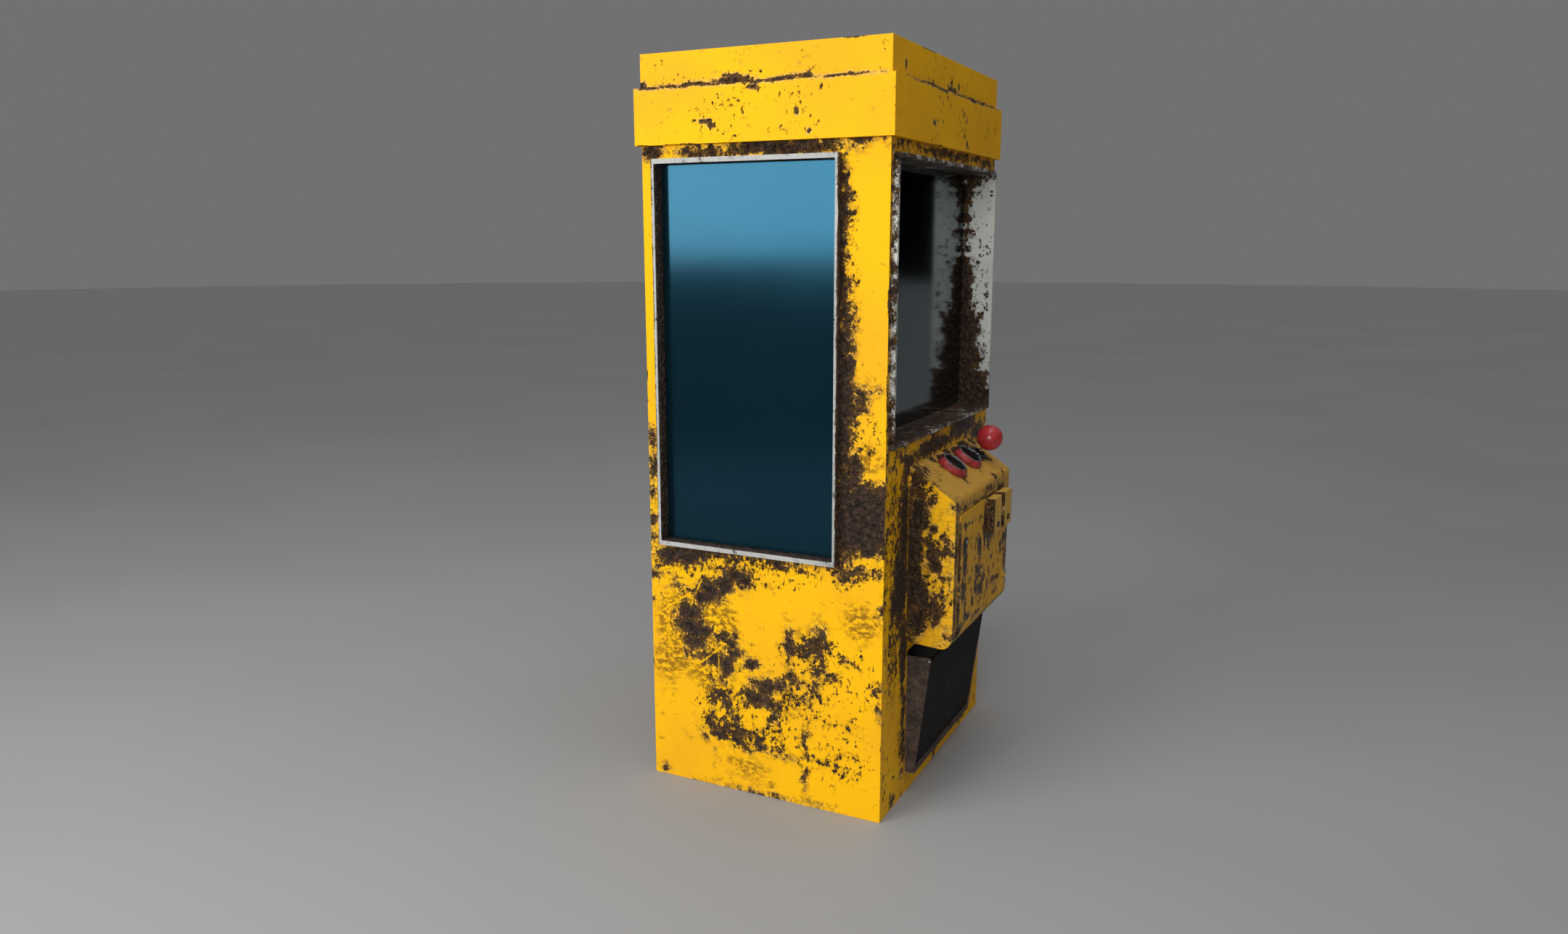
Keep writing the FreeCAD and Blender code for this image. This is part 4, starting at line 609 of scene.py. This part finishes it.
def button_red(name, centre):
    """A button's red collar, with grime in patches and painted shade that turns its far side black."""
    s = Shader(name)
    scuffs = s.noise(s.place, 240, detail=5, roughness=0.75)
    grime = s.step(s.noise(s.place, 60, detail=6, roughness=0.75), 0.50, 0.62)
    # painted shade: the collar is painted black towards its far side
    aside = s.vector("DOT_PRODUCT", s.vector("SUBTRACT", s.place, centre), BUTTON_SHADED_SIDE)
    shaded_side = s.step(s.math("MULTIPLY_ADD", scuffs, 0.020, aside), 0.010, 0.028)
    tone = s.blend(s.step(scuffs, 0.45, 0.62), (0.30, 0.022, 0.026), (0.52, 0.060, 0.060))
    tone = s.blend(s.math("MAXIMUM", shaded_side, s.math("MULTIPLY", grime, 0.6)), tone, (0.022, 0.010, 0.009))
    gloss = s.math("MULTIPLY_ADD", s.math("MAXIMUM", shaded_side, grime), 0.3, 0.30)
    return s.set(Base_Color=tone, Roughness=gloss, Normal=s.relief(scuffs, 0.0004))


def button_black(name, centre):
    """A button's black plunger, tinted dark red at its centre: a painted red reflection."""
    s = Shader(name)
    scuffs = s.noise(s.place, 300, detail=4, roughness=0.7)
    # painted reflection: a dark red tint at the plunger's centre
    red_reflection = s.step(s.vector("DISTANCE", s.place, centre), 0.026, 0.017)
    tone = s.blend(s.math("MULTIPLY", red_reflection, 0.8), (0.005, 0.004, 0.004), (0.060, 0.008, 0.010))
    return s.set(Base_Color=tone, Roughness=s.math("MULTIPLY_ADD", scuffs, 0.3, 0.35),
                 Normal=s.relief(scuffs, 0.0003), Specular_IOR_Level=0.07)


def mottled_rust(name):
    """Brown rusted sheet with pale worn flecks."""
    s = Shader(name)
    broad = s.noise(s.place, 26, detail=6, roughness=0.65)
    fine = s.noise(s.stretched(s.place, (1, 1, 0.7)), 140, detail=5, roughness=0.75)
    tone = s.blend(s.step(broad, 0.36, 0.64), (0.024, 0.014, 0.011), (0.085, 0.050, 0.034))
    tone = s.blend(s.math("MULTIPLY", s.step(fine, 0.50, 0.66), 0.55), tone, (0.17, 0.112, 0.080))
    tone = s.blend(s.math("MULTIPLY", s.step(fine, 0.46, 0.36), 0.7), tone, (0.014, 0.010, 0.010))
    height = s.math("MULTIPLY_ADD", broad, 0.5, fine)
    return s.set(Base_Color=tone, Roughness=s.math("MULTIPLY_ADD", fine, 0.3, 0.55),
                 Normal=s.relief(height, 0.0012))


def over(*nodes):
    """The corners of the box round some CAD nodes."""
    boxes = [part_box(n) for n in nodes]
    low = [min(box[0][axis] for box in boxes) for axis in range(3)]
    high = [max(box[1][axis] for box in boxes) for axis in range(3)]
    return low, high


def painted_looks():
    """The painted CAD nodes' materials, by node name."""
    cabinet = over("left_side_panel", "right_side_panel", "front_panel")
    back = painted("back_paint", YELLOW, BACK_RUST, BACK_STAINS, BACK_CHIPS)
    left_rim = [((over("front_window_frame")[0][0] - 0.005, 0, 0), (0.004, ENDLESS, ENDLESS))]
    looks = {
        "left_side_panel": painted("left_paint", YELLOW, LEFT_RUST_AND_CAP_SHADOW, LEFT_STAINS, LEFT_CHIPS, LEFT_SCRATCHES,
                                   cabinet),
        "right_side_panel": painted("right_paint", YELLOW, RIGHT_RUST_AND_CAP_SHADOW, RIGHT_STAINS, RIGHT_CHIPS,
                                    box=cabinet),
        "front_panel": painted("front_paint", YELLOW, FRONT_RUST_AND_CAP_SHADOW, FRONT_STAINS, FRONT_CHIPS, box=cabinet),
        "cap_lower": painted("cap_paint", YELLOW, CAP_RUST, (), CAP_CHIPS, box=over("cap_lower"),
                             ragged=0.014),
        "cap_upper": painted("roof_paint", YELLOW, CAP_RUST, (), CAP_CHIPS, box=over("cap_upper"),
                             ragged=0.014),
        "control_box": painted("control_box_paint", YELLOW, BOX_RUST, BOX_STAINS, BOX_CHIPS, ragged=0.038,
                               dusty=(-0.2494, 0.72)),
        "coin_door": painted("coin_door_paint", YELLOW, DOOR_RUST, DOOR_STAINS, DOOR_CHIPS,
                             box=over("coin_door"), ragged=0.020, dusty=(-0.3, 0.36)),
        "back_panel": back,
        "service_door": back,
        "front_window_frame": painted("front_frame_paint", GREY, REVEAL_RUST + left_rim, (), REVEAL_CHIPS,
                                      ragged=0.05),
    }
    for n in (1, 2):
        low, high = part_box("coin_bezel_%d" % n)
        sides = [((x, 0, 0), (0.006, ENDLESS, ENDLESS)) for x in (low.x - 0.004, high.x + 0.004)]
        looks["coin_bezel_%d" % n] = painted("coin_entry_paint_%d" % n, TAN, sides, box=(low, high),
                                             ragged=0.01, worn_edge=0.002)
    for side in ("left", "right"):
        low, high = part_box(side + "_window_frame")
        outside = [((0, y, 0), (ENDLESS, 0.005, ENDLESS)) for y in (low.y - 0.003, high.y + 0.003)]
        inside = [((low.x if side == "right" else high.x, 0, 0), (0.0475, ENDLESS, ENDLESS))]
        looks[side + "_window_frame"] = painted(side + "_frame_paint", DULL_GREY, outside + inside,
                                                ragged=0.007)
    return looks


def shared_looks():
    """The other materials, each with its CAD nodes."""
    # the blue glass keeps 0.55 of its reflection at the bottom: painted shade
    blue_glass = reflective_glass("blue_glass", (0.0021, 0.0094, 0.0140), 1.66, (0.15, 0.60, 0.92), 0.095,
                                  reflection_left_low=0.55)
    dark_glass = reflective_glass("dark_glass", (0.0008, 0.0012, 0.0018), 2.9, (0.78, 0.93, 1.0), 0.07)
    steel = plain("dull_steel", (0.34, 0.33, 0.31), 0.45, metal=0.9, stain=(0.09, 0.045, 0.02), stain_at=0.60)
    chrome = plain("pitted_chrome", (0.62, 0.62, 0.63), 0.22, metal=1.0, stain=(0.07, 0.04, 0.025),
                   stain_at=0.60)
    gunmetal = plain("gunmetal", (0.055, 0.062, 0.072), 0.35, metal=0.8, stain=(0.05, 0.028, 0.012),
                     stain_at=0.56)
    dark_chrome = plain("worn_chrome", (0.30, 0.32, 0.33), 0.20, metal=1.0, stain=(0.03, 0.022, 0.018),
                        stain_at=0.52)
    bright_chrome = plain("bright_chrome", (0.78, 0.80, 0.82), 0.10, metal=1.0, spread=0.10)
    aluminium = plain("claw_aluminium", (0.60, 0.61, 0.62), 0.32, metal=1.0)
    grey_sheet = plain("grey_sheet", (0.30, 0.31, 0.31), 0.42, stain=(0.13, 0.12, 0.10), stain_at=0.60)
    dark_case = plain("dark_case", (0.05, 0.05, 0.052), 0.5, stain=(0.16, 0.15, 0.13), stain_at=0.62)
    rubber = plain("bead_rubber", (0.022, 0.022, 0.022), 0.7, stain=(0.09, 0.085, 0.08), stain_at=0.58)
    flap_black = plain("flap_black", (0.0085, 0.0062, 0.0056), 0.60, stain=(0.022, 0.018, 0.016),
                       stain_at=0.62, Specular_IOR_Level=0.22)
    acrylic = plain("clear_acrylic", (0.85, 0.90, 0.92), 0.08, Transmission_Weight=0.92)
    circuit = plain("circuit_board", (0.02, 0.13, 0.05), 0.4, stain=(0.20, 0.16, 0.06), stain_at=0.60)
    ball_red = scuffed("ball_plastic", (0.47, 0.026, 0.034), 0.22, (0.13, 0.016, 0.016))
    black = scuffed("black_plastic", (0.012, 0.010, 0.010), 0.18, (0.035, 0.030, 0.028))
    return {
        blue_glass: ("left_glass", "right_glass"),
        dark_glass: ("front_glass",),
        rubber: ("glazing_beads",),
        steel: ("base_plate", "service_hinges", "coin_hinge", "gantry_rails", "bridge", "trolley",
                "hoist_outer", "cash_box", "button_nuts", "joystick_base", "joystick_yoke", "coin_mech_1",
                "coin_mech_2"),
        chrome: ("service_lock", "service_cam", "coin_cam", "flap_pin"),
        gunmetal: ("coin_lock", "coin_return_1", "coin_return_2"),
        dark_chrome: ("button_ring_1", "button_ring_2"),
        bright_chrome: ("joystick_shaft", "hoist_mid", "claw_finger_1", "claw_finger_2", "claw_finger_3"),
        aluminium: ("claw_head",),
        ball_red: ("joystick_ball",),
        black: ("joystick_collar",),
        mottled_rust("hopper_rust"): ("hopper",),
        flap_black: ("prize_flap",),
        grey_sheet: ("prize_chute", "playfield"),
        acrylic: ("chute_guard",),
        circuit: ("control_board",),
        dark_case: ("power_supply", "power_inlet"),
    }


def make_materials():
    """Each CAD node's material, by node name."""
    looks = painted_looks()
    for material, nodes in shared_looks().items():
        looks.update((n, material) for n in nodes)
    for n in (1, 2):
        low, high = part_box("button_bezel_%d" % n)
        centre = [(a + b) / 2 for a, b in zip(low, high)]
        looks["button_bezel_%d" % n] = button_red("button_red_%d" % n, centre)
        looks["button_plunger_%d" % n] = button_black("button_black_%d" % n, centre)
    return looks


# ---- CAD nodes ---------------------------------------------------------------------------------------

BEVELS = {"prize_flap": 0.0012, "hopper": 0.0008, "joystick_ball": 0, "left_glass": 0.0005,
          "right_glass": 0.0005, "front_glass": 0.0005, "cap_lower": 0.0011, "cap_upper": 0.0011,
          "control_box": 0.0009, "coin_door": 0.0010, "coin_bezel_1": 0.0008, "coin_bezel_2": 0.0008}
USUAL_BEVEL = 0.0007
SHARPEST_ROUND_DEGREES = 32
WELD_DISTANCE = 1e-5


def dress(name, piece, material):
    """Gives a CAD node its material and a small round on each sharp edge."""
    mesh = piece.data
    mesh.materials.clear()
    mesh.materials.append(material)
    for attribute in ("custom_normal", "sharp_edge", "sharp_face"):
        if attribute in mesh.attributes:
            mesh.attributes.remove(mesh.attributes[attribute])
    weld = piece.modifiers.new("weld", "WELD")
    weld.merge_threshold = WELD_DISTANCE
    width = BEVELS.get(name, USUAL_BEVEL)
    if width:
        bevel = piece.modifiers.new("edges", "BEVEL")
        bevel.width = width
        bevel.segments = 2
        bevel.limit_method = "ANGLE"
        bevel.angle_limit = math.radians(SHARPEST_ROUND_DEGREES)
        bevel.use_clamp_overlap = True
        normals = piece.modifiers.new("normals", "WEIGHTED_NORMAL")
        normals.weight = 90


# ---- stage -------------------------------------------------------------------------------------------

def make_floor():
    bpy.ops.mesh.primitive_circle_add(vertices=96, radius=40, fill_type="NGON")
    floor = bpy.context.object
    floor.name = "floor"
    s = Shader("pale_floor")
    broad = s.noise(s.place, 0.6, detail=2)
    tone = s.blend(s.step(broad, 0.35, 0.65), (0.30, 0.30, 0.30), (0.315, 0.315, 0.315))
    floor.data.materials.append(s.set(Base_Color=tone, Roughness=0.8))


# each light: name, place, the point it aims at, width, height, watts, colour
SOFTBOXES = (
    ("key_softbox", (-4.4, 2.25, 2.55), (0, 0, 1.2), 3.2, 2.5, 185, (0.95, 0.98, 1.0)),
    ("fill_softbox", (-4.6, -1.25, 1.9), (0, -0.3, 1.0), 1.2, 1.4, 70, (1, 1, 1)),
    ("overhead_softbox", (-0.6, -0.6, 4.6), (0, 0, 1), 2.5, 2.5, 40, (1, 1, 1)),
)


def area_light(name, spot, aim, wide, high, power, colour):
    data = bpy.data.lights.new(name, "AREA")
    data.shape = "RECTANGLE"
    data.size = wide
    data.size_y = high
    data.energy = power
    data.color = colour
    light = bpy.data.objects.new(name, data)
    light.location = spot
    light.rotation_euler = (Vector(aim) - Vector(spot)).to_track_quat("-Z", "Y").to_euler()
    bpy.context.collection.objects.link(light)


# the sky: from, to, strength there, for the height and for the left side
SKY_BY_HEIGHT = (0.12, 0.80, 0.0, 0.60)
SKY_BY_SIDE = (-0.30, -0.95, 0.0, 0.30)
BACKDROP = (0.165, 0.165, 0.165, 1)


def make_world():
    """Soft light that is dim near the horizon. The camera itself sees an even pale grey."""
    world = bpy.data.worlds.new("studio")
    bpy.context.scene.world = world
    world.use_nodes = True
    tree = world.node_tree
    tree.nodes.clear()
    output = tree.nodes.new("ShaderNodeOutputWorld")
    ray = tree.nodes.new("ShaderNodeLightPath")
    place = tree.nodes.new("ShaderNodeTexCoord")
    split = tree.nodes.new("ShaderNodeSeparateXYZ")
    ramp = tree.nodes.new("ShaderNodeMapRange")
    side = tree.nodes.new("ShaderNodeMapRange")
    total = tree.nodes.new("ShaderNodeMath")
    soft = tree.nodes.new("ShaderNodeBackground")
    backdrop = tree.nodes.new("ShaderNodeBackground")
    mix = tree.nodes.new("ShaderNodeMixShader")
    backdrop.inputs["Color"].default_value = BACKDROP
    for node, values in ((ramp, SKY_BY_HEIGHT), (side, SKY_BY_SIDE)):
        for socket, value in zip(list(node.inputs)[1:], values):
            socket.default_value = value
    tree.links.new(place.outputs["Generated"], split.inputs[0])
    tree.links.new(split.outputs["Z"], ramp.inputs[0])
    tree.links.new(split.outputs["X"], side.inputs[0])
    tree.links.new(ramp.outputs[0], total.inputs[0])
    tree.links.new(side.outputs[0], total.inputs[1])
    tree.links.new(total.outputs[0], soft.inputs["Strength"])
    tree.links.new(ray.outputs["Is Camera Ray"], mix.inputs[0])
    tree.links.new(soft.outputs[0], mix.inputs[1])
    tree.links.new(backdrop.outputs[0], mix.inputs[2])
    tree.links.new(mix.outputs[0], output.inputs["Surface"])


CAMERA_PLACE = (-2.9006, -1.2767, 1.4458)
CAMERA_TURN, CAMERA_TILT = math.radians(-63.93), math.radians(11.222)
SENSOR_WIDTH, FOCAL_LENGTH = 36, 25.99


def make_camera():
    data = bpy.data.cameras.new("camera")
    data.sensor_width = SENSOR_WIDTH
    data.lens = FOCAL_LENGTH
    camera = bpy.data.objects.new("camera", data)
    camera.location = CAMERA_PLACE
    level = math.cos(CAMERA_TILT)
    ahead = Vector((-math.sin(CAMERA_TURN) * level, math.cos(CAMERA_TURN) * level, -math.sin(CAMERA_TILT)))
    camera.rotation_euler = ahead.to_track_quat("-Z", "Y").to_euler()
    bpy.context.collection.objects.link(camera)
    bpy.context.scene.camera = camera


make_camera()
for node, look in make_materials().items():
    dress(node, NODES[node], look)
make_floor()
make_world()
for softbox in SOFTBOXES:
    area_light(*softbox)
bpy.context.scene.view_settings.view_transform = "Standard"
